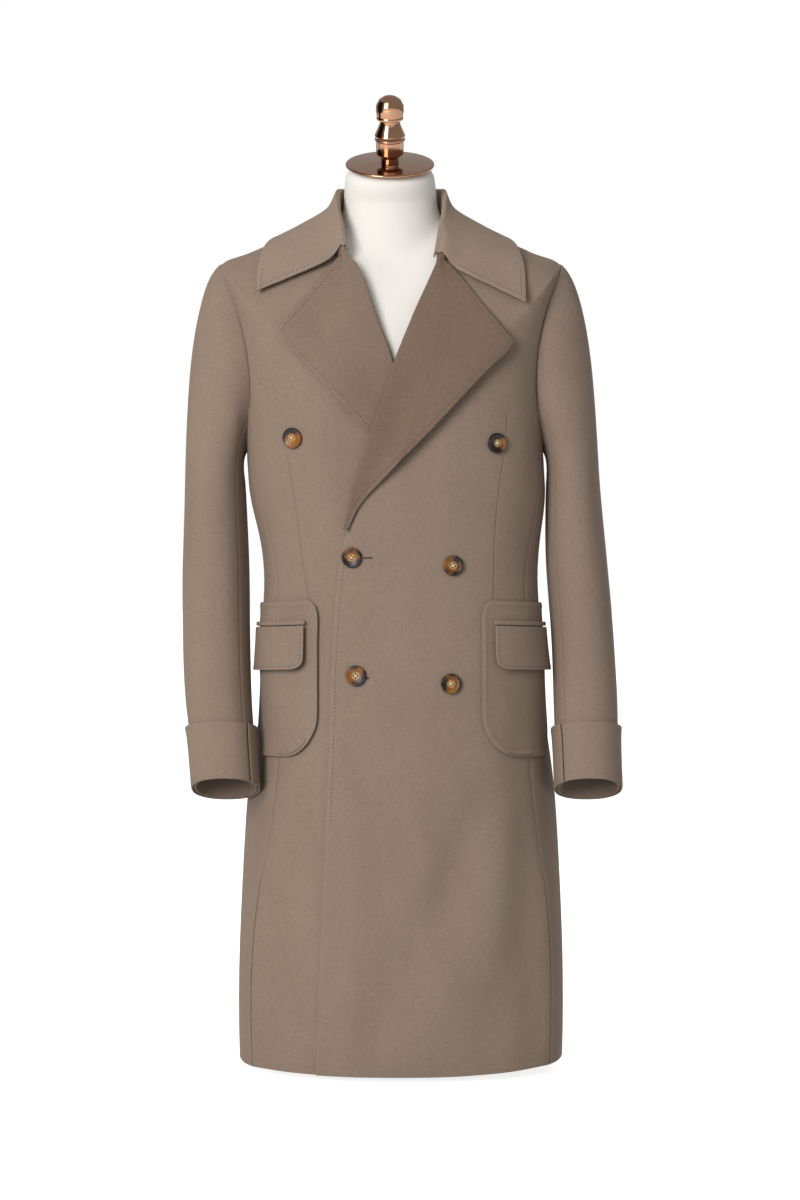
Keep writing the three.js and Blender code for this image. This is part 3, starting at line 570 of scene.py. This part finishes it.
# %% Write the folds down
FOLDS = [  # start, end, width, height, in mm
    ((-60, -124, 470), (-32, -131, 270), 20, -3.0),
    ((-75, -130, 290), (-90, -130, 30), 16, -2.6),
    ((99, -120, 350), (53, -129, 232), 24, -4.4),
    ((53, -129, 232), (-40, -131, 53), 22, -4.0),
    ((18, -128, 350), (36, -130, 240), 22, 3.2),
    ((137, -116, 300), (115, -123, 178), 24, 4.6),
    ((115, -123, 178), (-3, -131, 45), 22, 4.2),
    ((132, -115, 118), (100, -124, 30), 20, -3.4),
    ((-140, -105, 420), (-128, -116, 60), 26, -2.0),
    ((152, -100, 420), (168, -100, 60), 24, -2.4),
    ((-197, -78, 5), (-188, -78, 240), 28, 5.0),
    ((197, -78, 5), (188, -78, 240), 28, 5.0),
    ((-252, -38, 720), (-236, -44, 560), 20, -1.8),
    ((-222, -48, 640), (-250, -40, 470), 18, 1.8),
    ((240, -40, 740), (252, -40, 580), 20, -1.8),
    ((262, -44, 660), (238, -48, 500), 18, 1.8),
    ((-60, 110, 560), (-95, 120, 60), 40, 3.4),
    ((60, 110, 560), (95, 120, 60), 40, 3.4),
    ((0, 110, 500), (0, 120, 60), 30, -2.8),
]


def fold_heights(points):
    """How far all the folds together move each point out."""
    height = np.zeros(len(points))
    for start, end, width, rise in FOLDS:
        start, end = np.array(start) * MM, np.array(end) * MM
        along = np.clip((points - start) @ (end - start) / ((end - start) @ (end - start)), 0, 1)
        away = np.linalg.norm(points - start - along[:, None] * (end - start), axis=1)
        height += rise * MM * np.exp(-((away / (width * MM)) ** 2))
    return height


print("folds", len(FOLDS))

# %% Let the hem rise a little on one side
HEM_RISE, HEM_ZONE = 3 * MM, 260 * MM


def hem_rise(points):
    """The hem hangs a little higher on the wearer's left."""
    low = np.clip(1 - points[:, 2] / HEM_ZONE, 0, 1)
    across = np.clip(points[:, 0] / 0.2, 0, 1)
    return HEM_RISE * low * across**2


print("hem rises by", HEM_RISE / MM, "mm")

# %% [markdown]
# ## Loose edges
# The free edges of the lapels and of the collar are not pressed flat. They stand off the
# coat by a few millimetres and throw a soft shadow. Each such stretch of edge is given by
# two points as seen from the front. The cloth near it is lifted, less and less towards the
# roll line, where the lapel is folded and stays where it is.

# %% Write the loose edges down
ROLL_WIDTH = 32 * MM
LOOSE = [  # piece, start and end as x and z, width, height, roll line, in mm
    ("lapel_left", (126, 908), (-42, 724), 40, 10, ((46, 1024), (-66, 690))),
    ("lapel_right", (-140, 924), (-56, 830), 34, 7, ((-60, 1026), (-7, 908))),
    ("collar", (152, 966), (80, 1000), 22, 6.5, None),
    ("collar", (-172, 976), (-97, 1012), 22, 6.5, None),
]


def away_from(points, start, end):
    """Distance from a stretch of line, as seen from the front."""
    seen, start, run = points[:, [0, 2]], np.array(start) * MM, np.subtract(end, start) * MM
    along = np.clip((seen - start) @ run / (run @ run), 0, 1)
    return np.linalg.norm(seen - start - along[:, None] * run, axis=1)


def loose_edge(name, points):
    """How far the free edge of a lapel or of the collar stands off; its roll stays put."""
    height = np.zeros(len(points))
    for piece, start, end, width, rise, roll in LOOSE:
        if piece == name:
            near = np.exp(-((away_from(points, start, end) / (width * MM)) ** 2))
            if roll:
                near *= np.clip(away_from(points, *roll) / ROLL_WIDTH, 0, 1) ** 2
            height += rise * MM * near * (points[:, 1] < 0)
    return height


print("loose edges", len(LOOSE))

# %% Move the cloth
for name, piece in cloth.items():
    points, normals = points_of(piece.data), normals_of(piece.data)
    height = fold_heights(points) + loose_edge(name, points)
    points += normals * height[:, None]
    points[:, 2] += hem_rise(points)
    move_points(piece, points)
    print(name, "moved by up to", round(float(abs(height).max()) / MM, 1), "mm")

# %% [markdown]
# ## Pieces that lie on others
# Felted wool presses flat where it is covered. A point of a lower piece that would come
# through the one on top of it is moved in, to just behind the upper piece's wall.

# %% Press the covered pieces in
WALL = 2.5 * MM
CLEAR = WALL + 0.4 * MM
NEAR = 14 * MM


def press_under(lower, upper):
    """Moves the points of the lower piece in where the upper one covers them."""
    cover = tree_of(upper)
    points = points_of(lower.data)
    pressed = 0
    for i, point in enumerate(points):
        place, normal, _, _ = cover.find_nearest(point, NEAR)
        if place is None:
            continue
        off = Vector(point) - place
        height = off.dot(normal)
        if height > -CLEAR and (off - normal * height).length < 0.5 * MM:
            points[i] -= np.array(normal) * (height + CLEAR)
            pressed += 1
    move_points(lower, points)
    return pressed


LAYERS = [("flap", "jet"), ("flap", "pocket"), ("jet", "pocket"), ("lapel", "front")]
LAYERS += [("pocket", "front"), ("pocket", "side"), ("pocket", "back")]
LAYERS += [("cuff", "sleeve_top"), ("cuff", "sleeve_under")]
for name in SIDES:
    print(name, [press_under(cloth[f"{b}_{name}"], cloth[f"{a}_{name}"]) for a, b in LAYERS])
    for under in ("lapel", "front", "back"):
        press_under(cloth[f"{under}_{name}"], cloth["collar"])
print("fronts", press_under(cloth["front_right"], cloth["front_left"]))

# %% [markdown]
# ## Thickness and edges
# The wool is 2.5 mm thick. Its edges are turned in and pressed, so they are drawn in a
# little and rounded. Where two pieces meet, the two round edges make the seam.

# %% Round the edges and give the cloth its wall
DRAWN_IN, ARMHOLE_IN = 0.5 * MM, 2.2 * MM
ARM_LOW, ARM_OUT = 0.84, 0.165  # an armhole's edge lies above and outside of these, in m


def edge_line(piece):
    """The open edge of a face as rows of place, way in and normal, in order round it."""
    mesh = piece.data
    faces_at = {}
    for face in mesh.polygons:
        for v in face.vertices:
            faces_at.setdefault(v, []).append(face.center)
    beside = edge_neighbours(mesh)
    start = min(beside)
    order, last, now = [start], None, start
    while True:
        step = [v for v in beside[now] if v != last]
        if not step or step[0] == start or len(order) > len(beside):
            break
        last, now = now, step[0]
        order.append(now)
    rows = []
    for i, v in enumerate(order):
        here = mesh.vertices[v].co.copy()
        ahead = mesh.vertices[order[(i + 1) % len(order)]].co
        run = (ahead - mesh.vertices[order[i - 1]].co).normalized()
        normal = mesh.vertices[v].normal.copy()
        middle = sum(faces_at[v], Vector()) / len(faces_at[v])
        inward = normal.cross(run).normalized()
        if inward.dot(middle - here) < 0:
            inward.negate()
        rows.append((here, inward, normal))
    return rows


def draw_in_edges(piece, armhole):
    """Draws the open edge in, and further where it is sewn into the armhole."""
    points, normals = points_of(piece.data), normals_of(piece.data)
    rim = sorted(edge_neighbours(piece.data))
    beside_arm = (points[rim, 2] > ARM_LOW) & (abs(points[rim, 0]) > ARM_OUT) & armhole
    depth = np.where(beside_arm, ARMHOLE_IN, DRAWN_IN)
    points[rim] -= normals[rim] * depth[:, None]
    move_points(piece, points)


def give_wall(piece, wall=WALL):
    """Thickens a face inwards and rounds its edges."""
    finish_with(piece, "SOLIDIFY", thickness=wall, offset=-1)
    finish_with(piece, "BEVEL", width=0.8 * MM, segments=2, angle_limit=radians(58))
    only(piece)
    bpy.ops.object.shade_smooth_by_angle(angle=radians(50))


edges = {name: edge_line(piece) for name, piece in cloth.items()}
for name, piece in cloth.items():
    draw_in_edges(piece, name.split("_")[0] in ("front", "back", "sleeve"))
    give_wall(piece)
print("corners", sum(len(p.data.vertices) for p in cloth.values()))

# %% [markdown]
# ## The cloth takes the place of its solids
# Each piece of cloth is now shown instead of the solid it was made from. It keeps that
# solid's name in its own, so that the two are easy to match.

# %% Give each piece its cloth and its place in the frame
for name, piece in cloth.items():
    piece.data.materials.append(cloth_of.get(name, cloth_of["plain"]))
    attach(piece, "root")
    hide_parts(name)
print("pieces of cloth", len(cloth))

# %% [markdown]
# ## Pick stitching
# The edges are held by hand stitches, 6 mm in from the edge and 5 mm apart. Each one only dents
# the nap, and the dent's shade is painted: a short dash of thread, darker than the wool, stands
# for it. One dash is modelled, with its ends sunk, and it is repeated along the edge line that
# was kept before the wall was added.


# %% Model one stitch
def stitch():
    """A short dash along X, bent down at both ends."""
    bpy.ops.object.select_all(action="DESELECT")
    bpy.ops.mesh.primitive_cylinder_add(vertices=6, radius=0.42 * MM, depth=2.8 * MM)
    piece = bpy.context.object
    edit(piece, "EDGE")
    done()
    for edge in piece.data.edges:
        a, b = (piece.data.vertices[v].co.z for v in edge.vertices)
        edge.select = abs(a - b) > 2 * MM
    bpy.ops.object.mode_set(mode="EDIT")
    bpy.ops.mesh.subdivide(number_cuts=3)
    done()
    points = points_of(piece.data)[:, [2, 0, 1]]
    points[:, 2] -= 0.55 * MM * (points[:, 0] / (1.4 * MM)) ** 2
    move_points(piece, points)
    return piece


dash = stitch()
DASH_POINTS = points_of(dash.data)
DASH_FACES = [tuple(face.vertices) for face in dash.data.polygons]
bpy.data.objects.remove(dash)
print("stitch faces", len(DASH_FACES))

# %% Make the stitches' thread, darkened as painted shade
silk_and_shade = Finish("stitch_thread_and_shade", Roughness=0.75)
ply = silk_and_shade.noise(1500, 1)
# Painted shade: the dark brown stands for the shade in each stitch's dent as well as the thread
brown = silk_and_shade.blend(ply, paint(74, 60, 52), paint(96, 80, 69))
stitch_thread_and_shade = silk_and_shade.set(Base_Color=brown, Normal=silk_and_shade.bump(ply, 0.0001, 0.3))
PITCH, INSET, LIFT = 5 * MM, 6 * MM, 0.12 * MM
stitches = {}


# %% Sew along the edges
def stitch_line(rows, surface, inset):
    """Places stitches a pitch apart along the edge rows, an inset in from the edge."""
    places, walked, last = [], PITCH / 2, None
    for here, inward, _ in rows:
        near = surface.find_nearest(here + inward * inset)
        place, normal = near[0], near[1]
        if last is not None:
            step = (place - last).length
            if step > 4 * PITCH:
                last, walked = place, PITCH / 2
                continue
            while walked < step:
                spot = last.lerp(place, walked / step)
                places.append((spot, (place - last).normalized(), normal))
                walked += PITCH
            walked -= step
        last = place
    return places


def set_stitches(name, places, finish, size=(1, 1, 1)):
    """Joins a copy of the dash at each place into one mesh."""
    corners, faces = [], []
    for spot, along, normal in places:
        across = normal.cross(along).normalized()
        turn = Matrix((along, across, along.cross(across))).transposed()
        faces += [tuple(len(corners) + v for v in face) for face in DASH_FACES]
        dash = DASH_POINTS * size + [0, 0, LIFT]
        corners += [spot + turn @ Vector(p) for p in dash]
    mesh = bpy.data.meshes.new(name)
    mesh.from_pydata([tuple(c) for c in corners], [], faces)
    mesh.materials.append(finish)
    piece = bpy.data.objects.new(name, mesh)
    bpy.context.scene.collection.objects.link(piece)
    edit(piece, "FACE", "SELECT")
    bpy.ops.mesh.normals_make_consistent(inside=False)
    done()
    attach(piece, "root")
    return piece


def sew(name, wanted, inset=INSET):
    """Stitches the stretches of a piece's edge that are wanted."""
    rows = edges[name]
    keep = [wanted(*row) for row in rows]
    start = next((i for i in range(len(rows)) if keep[i] and not keep[i - 1]), 0)
    surface = tree_of(cloth[name])
    places, run = [], []
    for i in range(len(rows)):
        now = (start + i) % len(rows)
        if keep[now]:
            run.append(rows[now])
        if run and (not keep[now] or i == len(rows) - 1):
            places += stitch_line(run, surface, inset)
            run = []
    stitches[name] = set_stitches(name + "_stitches", places, stitch_thread_and_shade)
    return len(places)


# Where edges are stitched, in m
COLLAR_MIDDLE, GORGE_OUT, GORGE_BACK = -0.012, 0.078, 0.04
LAPEL_TOP = 1.02  # the neck seam of the lapels and the collar lies above it
FRONT_TOP = 0.66  # the outer front's edge goes under the lapel here
FLAP_LOW = 0.562  # only a flap's lower edge lies below


def lapel_edge(side):
    """The lapel's outer edge, which points away from the coat's middle."""
    return lambda here, inward, normal: inward.x * side < -0.35 and here.z < LAPEL_TOP


def front_edge(here, inward, normal):
    """The outer front's own edge, below the lapel."""
    return here.x < 0 and here.z < FRONT_TOP and inward.x > 0.6


def collar_edge(here, inward, normal):
    """The collar's outer edge, without the part that the gorge seam joins to the lapels."""
    past_gorge = abs(here.x - COLLAR_MIDDLE) > GORGE_OUT or here.y > GORGE_BACK
    outer = inward.y < 0.2 and here.y < 0.02 and here.z < LAPEL_TOP or inward.z > 0.5
    return past_gorge and outer


sewn = {f"lapel_{name}": sew(f"lapel_{name}", lapel_edge(side)) for name, side in SIDES.items()}
sewn["front_left"] = sew("front_left", front_edge)
sewn["collar"] = sew("collar", collar_edge)
for name in SIDES:
    sewn["flap_" + name] = sew("flap_" + name, lambda here, i, n: here.z < FLAP_LOW, 4 * MM)
print("stitches", sewn)

# %% [markdown]
# ## Buttonholes
# The two lower buttons of the outer front go through buttonholes. Each is a slit bound with
# dark stitches that stand side by side across it, and its outer end shows past the button.
# The slit is not cut, so the stitches' near-black is partly the thread and partly painted shade.

# %% Bind the buttonholes
HOLE_STITCHES, HOLE_PITCH = 14, 0.9 * MM
dark = Finish("buttonhole_twist", Roughness=0.7)
turns = dark.noise(1800, 1)
# Painted shade: the near-black stands for the slit's shade as well as the thread
twist_and_slit_shade = dark.blend(turns, paint(34, 29, 27), paint(58, 50, 46))
buttonhole_twist = dark.set(Base_Color=twist_and_slit_shade, Normal=dark.bump(turns, 0.0001, 0.4))


def buttonhole(name, x, z):
    """A row of stitches that runs towards +X from x, laid on the outer front."""
    surface = tree_of(cloth["front_left"])
    places = []
    for i in range(HOLE_STITCHES):
        place, normal, _, _ = surface.find_nearest((x + i * HOLE_PITCH, -0.14, z))
        places.append((place, Vector((0, 0, 1)), normal))
    stitches[name] = set_stitches(name, places, buttonhole_twist, (0.85, 1.25, 1.3))


buttonhole("buttonhole_middle", -49 * MM, 654.5 * MM)
buttonhole("buttonhole_low", -53 * MM, 507 * MM)
print("buttonholes", HOLE_STITCHES, "stitches each")

# %% [markdown]
# ## Buttons
# The buttons are tortoiseshell: amber with black clouds, a raised round rim, a dished
# middle and four holes that cream thread passes through.

# %% Model one button
HOLE = 1.15 * MM


def ring_button():
    """A button as a disc that is drawn up ring by ring, with its back at height 0."""
    bpy.ops.object.select_all(action="DESELECT")
    bpy.ops.mesh.primitive_circle_add(vertices=48, radius=11.4 * MM, fill_type="NGON")
    piece = bpy.context.object
    edit(piece, "FACE", "SELECT")
    rings = [(12.7, 0.9), (13.0, 2.2), (12.5, 3.8), (11.4, 4.4), (10.0, 4.1), (8.8, 3.2), (5, 2.7)]
    last, height = 11.4, 0
    for radius, rise in rings:
        bpy.ops.mesh.extrude_region_move(
            TRANSFORM_OT_translate={"value": (0, 0, (rise - height) * MM)}
        )
        bpy.ops.transform.resize(value=(radius / last, radius / last, 1))
        last, height = radius, rise
    done()
    return piece


button = ring_button()
button.name = "button_start"
edit(button, "FACE", "SELECT")
bpy.ops.mesh.normals_make_consistent(inside=False)
done()
finish_with(button, "SUBSURF", levels=1, render_levels=1)

# %% Cut the four holes
bpy.ops.object.select_all(action="DESELECT")
drills = []
for turn in range(4):
    angle = (turn + 0.5) * pi / 2
    bpy.ops.mesh.primitive_cylinder_add(
        vertices=20,
        radius=HOLE,
        depth=20 * MM,
        location=(2.6 * MM * cos(angle), 2.6 * MM * sin(angle), 0),
    )
    drills.append(bpy.context.object)
only(drills[0])
for drill in drills:
    drill.select_set(True)
bpy.ops.object.join()
finish_with(button, "BOOLEAN", operation="DIFFERENCE", object=drills[0], solver="EXACT")
bpy.data.objects.remove(drills[0])
finish_with(button, "BEVEL", width=0.25 * MM, segments=2, angle_limit=radians(50))
only(button)
bpy.ops.object.shade_smooth_by_angle(angle=radians(45))
print("button faces", len(button.data.polygons))

# %% Make the tortoiseshell and the thread
# Each button carries its points' distance from its own middle, where the shell is paler
OUT = "from_middle"
away = np.linalg.norm(points_of(button.data)[:, :2], axis=1) / MM
button.data.attributes.new(OUT, "FLOAT", "POINT").data.foreach_set("value", away)

shell = Finish("tortoiseshell", Roughness=0.3, Coat_Weight=0.05, Coat_Roughness=0.1)
patch = shell.noise(50, 1.5, (1, 1, 1.2), 0.4)
fleck = shell.noise(420, 2, (1, 1, 1), 0.6)
out = shell.node("ShaderNodeAttribute", {"attribute_name": OUT}, output=2)
cloudy = patch * 0.9 + fleck * 0.1 - (out - 7) * 0.012
stops = [
    (0.39, paint(20, 14, 12)),
    (0.43, paint(48, 28, 16)),
    (0.47, paint(104, 62, 22)),
    (0.62, paint(136, 86, 34)),
]
shell.shader.inputs["Specular IOR Level"].default_value = 0.28
amber = shell.node("ShaderNodeValToRGB", {"stops": stops}, [cloudy])
pale = shell.node("ShaderNodeMapRange", None, {0: out, 1: 5.4, 2: 4.2, 3: 0.0, 4: 0.5})
horn = shell.blend(pale, amber, paint(204, 168, 114))
tortoiseshell = shell.set(Base_Color=horn, Normal=shell.bump(fleck, 0.0001, 0.1))

twist = Finish("cream_thread", Roughness=0.8)
strand = twist.noise(2600, 1, (1, 1, 0.3))
cream = twist.blend(strand, paint(196, 170, 128), paint(232, 212, 176))
thread = twist.set(Base_Color=cream, Normal=twist.bump(strand, 0.0001, 0.4))
print("points of one button", len(away))


# %% Model the thread and set the buttons on the coat
def thread_cross():
    """Two crossed bars of thread, sunk at their ends into the holes."""
    bars = []
    for turn in (pi / 4, -pi / 4):
        bpy.ops.object.select_all(action="DESELECT")
        bpy.ops.mesh.primitive_cylinder_add(
            vertices=10, radius=0.78 * MM, depth=6.2 * MM, location=(0, 0, 0)
        )
        bar = bpy.context.object
        edit(bar, "FACE", "SELECT")
        bpy.ops.mesh.subdivide(number_cuts=5)
        done()
        points = points_of(bar.data)[:, [2, 1, 0]]
        lift = 0.7 * MM if turn > 0 else 0.2 * MM
        bow = 1 - (points[:, 0] / (3.1 * MM)) ** 4
        points[:, 2] += 1.4 * MM + (1.4 * MM + lift) * bow
        move_points(bar, points)
        bar.data.transform(Matrix.Rotation(turn, 4, "Z"))
        edit(bar, "FACE", "SELECT")
        bpy.ops.mesh.normals_make_consistent(inside=False)
        done()
        bars.append(bar)
    only(bars[0])
    bars[1].select_set(True)
    bpy.ops.object.join()
    bpy.ops.object.shade_smooth_by_angle(angle=radians(60))
    return bars[0]


def button_place(node):
    """Turns a button that lies flat at the origin into the CAD button's place."""
    points = points_of(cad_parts[node].data)
    middle = (points.min(0) + points.max(0)) / 2
    across = np.linalg.svd(points - points.mean(0))[2][2]
    axis = Vector(across if across[1] < 0 else -across)
    rises = (points - middle) @ np.array(axis)
    foot = Vector(middle) + axis * float(rises.min())
    turn = Vector((0, 0, 1)).rotation_difference(axis)
    return Matrix.Translation(foot) @ turn.to_matrix().to_4x4()


cross = thread_cross()
for height in ("top", "middle", "low"):
    for number, (name, side) in enumerate(SIDES.items()):
        node = f"button_{height}_{name}"
        place = button_place(node)
        spin = Matrix.Rotation(radians(20 * number + 35 * len(height)), 4, "Z")
        for kind, model, finish in (("disc", button, tortoiseshell), ("thread", cross, thread)):
            piece = bpy.data.objects.new(f"{node}_{kind}", model.data.copy())
            bpy.context.scene.collection.objects.link(piece)
            piece.data.transform(place @ (spin if kind == "disc" else Matrix()))
            piece.data.materials.clear()
            piece.data.materials.append(finish)
            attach(piece, "root")
            if kind == "disc":
                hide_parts(node)
bpy.data.objects.remove(button)
bpy.data.objects.remove(cross)
print("last button set", node)

# %% [markdown]
# ## Sizes the pieces were cut to
# A piece's flat size is its widest girth and its full length, measured over its curves.
# Its area is less, because it is shaped. What it rests on is the form or the panels under
# it. The stitches sewn through each piece are gathered with it.

# %% List how each piece was cut and how it is held, and gather the stitches sewn on it
SHELL = ["front", "side", "back"]
CUTS = {  # flat width and length in m, area in square m, how it is held, what is under it
    "front": ((0.31, 1.12), 0.274, "hung", ["form"]),
    "side": ((0.16, 0.83), 0.111, "hung", ["form"]),
    "back": ((0.24, 1.10), 0.221, "hung", ["form"]),
    "sleeve_top": ((0.26, 0.70), 0.147, "hung", ["front", "back"]),
    "sleeve_under": ((0.11, 0.48), 0.041, "hung", ["sleeve_top"]),
    "cuff": ((0.31, 0.085), 0.0245, "folded", ["sleeve_top", "sleeve_under"]),
    "pocket": ((0.172, 0.20), 0.033, "laid", SHELL),
    "flap": ((0.15, 0.06), 0.0085, "hung", ["pocket"]),
    "jet": ((0.143, 0.01), 0.0012, "laid", ["pocket"]),
    "lapel": ((0.15, 0.40), 0.028, "folded", ["front"]),
}
LAPEL_RIGHT = (0.14, 0.27), 0.0215
for cut, (flat, area, held, under) in CUTS.items():
    for name in SIDES:
        node = f"{cut}_{name}"
        sewn_on = [stitches[node]] if node in stitches else []
        if node == "front_left":
            sewn_on += [stitches["buttonhole_middle"], stitches["buttonhole_low"]]
        if node == "lapel_right":
            flat, area = LAPEL_RIGHT
print("sheets", len(cloth))

# %% [markdown]
# ## The dress form, its copper cap and the finial
# The form is a padded torso under tight pale cloth. Its solid has the right outline, so a
# copy of it is only subdivided. The cap and the finial are turned parts. They are drawn up
# ring by ring from a disc, which keeps every rim crisp, and then tilted onto the neck.

# %% Finish the form
linen = Finish("form_cover", Roughness=0.85)
weave = linen.noise(900, 2, (1, 1, 1), 0.6)
soft = linen.noise(12, 2)
cover = linen.blend(weave * 0.5 + soft * 0.5, paint(218, 214, 206), paint(238, 235, 229))
form_cover = linen.set(Base_Color=cover, Normal=linen.bump(weave, 0.0002, 0.25))
form = copy_of("form")
form.name = "form_cover"
finish_with(form, "SUBSURF", levels=2, render_levels=2)
only(form)
bpy.ops.object.shade_smooth_by_angle(angle=radians(50))
form.data.materials.append(form_cover)
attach(form, "root")
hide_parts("form")
print("form faces", len(form.data.polygons))

# %% Turn the cap and the finial
CAP_TILT = radians(22)
CAP_SEAT = Vector((-14, -14, 1150)) * MM
FINIAL = [  # height, radius in mm
    (0, 11.5), (7, 11), (12, 17.4), (29, 17.6), (30, 19.3), (31.8, 19.3), (33, 17.6),
    (36, 19.5), (46, 15), (53, 12.4), (55.6, 12.3), (56.4, 16.6), (59.2, 17), (60.4, 16.2),
    (67, 17.7), (75, 17.4), (82, 13.6), (86, 7.4), (87.4, 2.0),
]
CAP = [(0, 54.5), (0.8, 56), (2.0, 56.5), (3.2, 56), (4, 54.8)]


def turned(name, profile, lift, sides=72):
    """A piece turned on a lathe: a disc that is drawn up ring by ring."""
    bpy.ops.object.select_all(action="DESELECT")
    first = profile[0][1] * MM
    bpy.ops.mesh.primitive_circle_add(vertices=sides, radius=first, fill_type="NGON")
    piece = bpy.context.object
    piece.name = name
    edit(piece, "FACE", "SELECT")
    for (low, last), (high, radius) in zip(profile, profile[1:]):
        bpy.ops.mesh.extrude_region_move(
            TRANSFORM_OT_translate={"value": (0, 0, (high - low) * MM)}
        )
        bpy.ops.transform.resize(value=(radius / last, radius / last, 1))
    bpy.ops.mesh.select_all(action="SELECT")
    bpy.ops.mesh.normals_make_consistent(inside=False)
    done()
    finish_with(piece, "BEVEL", width=0.5 * MM, segments=2, angle_limit=radians(28))
    tilt = Matrix.Rotation(CAP_TILT, 4, "X")
    axis = tilt @ Vector((0, 0, 1))
    piece.data.transform(Matrix.Translation(CAP_SEAT + axis * lift * MM) @ tilt)
    only(piece)
    bpy.ops.object.shade_smooth_by_angle(angle=radians(35))
    return piece


mirror = Finish("copper", Metallic=1.0)
smear = mirror.noise(30, 3, (1, 1, 1))
red = mirror.blend(smear, paint(156, 115, 90), paint(180, 139, 113))
copper = mirror.set(Base_Color=red, Roughness=smear * 0.10 + 0.06)
for node, profile, lift in (("neck_cap", CAP, 0.3), ("finial", FINIAL, 4.6)):
    piece = turned(node + "_copper", profile, lift)
    piece.data.materials.append(copper)
    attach(piece, "root")
    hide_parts(node)
    print(piece.name, "faces", len(piece.data.polygons))

# %% [markdown]
# ## The stand
# The pole and the base carry the form and are hidden by the coat. They are plain brushed
# steel, so their solids are shown as they are and only get a finish.

# %% Finish the stand
brushed = Finish("stand_steel", Metallic=1.0)
lines = brushed.noise(400, 2, (1, 1, 0.05))
grey = brushed.blend(lines, paint(92, 94, 98), paint(124, 126, 130))
steel = brushed.set(Base_Color=grey, Roughness=lines * 0.2 + 0.28)
for node in ("stand_pole", "stand_base"):
    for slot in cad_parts[node].material_slots:
        slot.material = steel
print("stand finished")

# %% [markdown]
# ## Floor and light
# The photograph is on plain white, in soft light from the front and the viewer's left. A
# large lamp gives the shapes their shading, and the white floor and room fill the rest.

# %% Lay the floor
bpy.ops.object.select_all(action="DESELECT")
bpy.ops.mesh.primitive_circle_add(vertices=96, radius=14, fill_type="NGON")
floor = bpy.context.object
floor.name = "floor"
pale = Finish("pale_floor", Roughness=0.9)
grit = pale.noise(3, 2)
white = pale.blend(grit, paint(246, 246, 245), paint(250, 250, 249))
pale.shader.inputs["Emission Color"].default_value = (1, 1, 1, 1)
pale.shader.inputs["Emission Strength"].default_value = 0.82
floor.data.materials.append(pale.set(Base_Color=white))
floor.visible_diffuse = False
print("floor", [round(side, 1) for side in floor.dimensions])

# %% Put a white backdrop all round and light the room evenly
# The camera sees the backdrop, but it gives no light, which comes from the world instead
bpy.ops.object.select_all(action="DESELECT")
bpy.ops.mesh.primitive_uv_sphere_add(segments=48, ring_count=24, radius=15)
backdrop = bpy.context.object
backdrop.name = "backdrop"
plain_white = Finish("plain_white", Roughness=1.0)
plain_white.shader.inputs["Base Color"].default_value = (0, 0, 0, 1)
plain_white.shader.inputs["Emission Color"].default_value = (1, 1, 1, 1)
plain_white.shader.inputs["Emission Strength"].default_value = 1.0
backdrop.data.materials.append(plain_white.material)
backdrop.visible_diffuse = backdrop.visible_glossy = backdrop.visible_shadow = False

world = bpy.data.worlds.new("studio")
bpy.context.scene.world = world
world.use_nodes = True
world.node_tree.nodes["Background"].inputs["Color"].default_value = (1, 1, 1, 1)
world.node_tree.nodes["Background"].inputs["Strength"].default_value = 0.46
bpy.context.scene.view_settings.view_transform = "Standard"

# %% Stand a black card beside the form, which only the copper mirrors
bpy.ops.object.select_all(action="DESELECT")
bpy.ops.mesh.primitive_plane_add(size=3.4, location=(-3, 0, 1.4), rotation=(0, pi / 2, 0))
card = bpy.context.object
card.name = "black_card"
black = Finish("black_card", Roughness=1.0)
black.shader.inputs["Base Color"].default_value = (0.01, 0.01, 0.01, 1)
card.data.materials.append(black.material)
card.visible_camera = card.visible_diffuse = card.visible_shadow = False
print("card at", tuple(round(c, 1) for c in card.location))

# %% Hang the light
def soft_light(name, place, aim, size, power):
    """A large rectangular lamp that looks at a point."""
    lamp = bpy.data.objects.new(name, bpy.data.lights.new(name, "AREA"))
    bpy.context.scene.collection.objects.link(lamp)
    lamp.data.shape = "RECTANGLE"
    lamp.data.size, lamp.data.size_y = size
    lamp.data.energy = power
    lamp.location = place
    lamp.rotation_euler = (Vector(aim) - Vector(place)).to_track_quat("-Z", "Y").to_euler()
    return lamp


lamp = soft_light("front_light", (-2.0, -3.4, 1.8), (0, 0, 0.7), (1.8, 2.2), 139)
print(lamp.name, lamp.data.energy, "W")
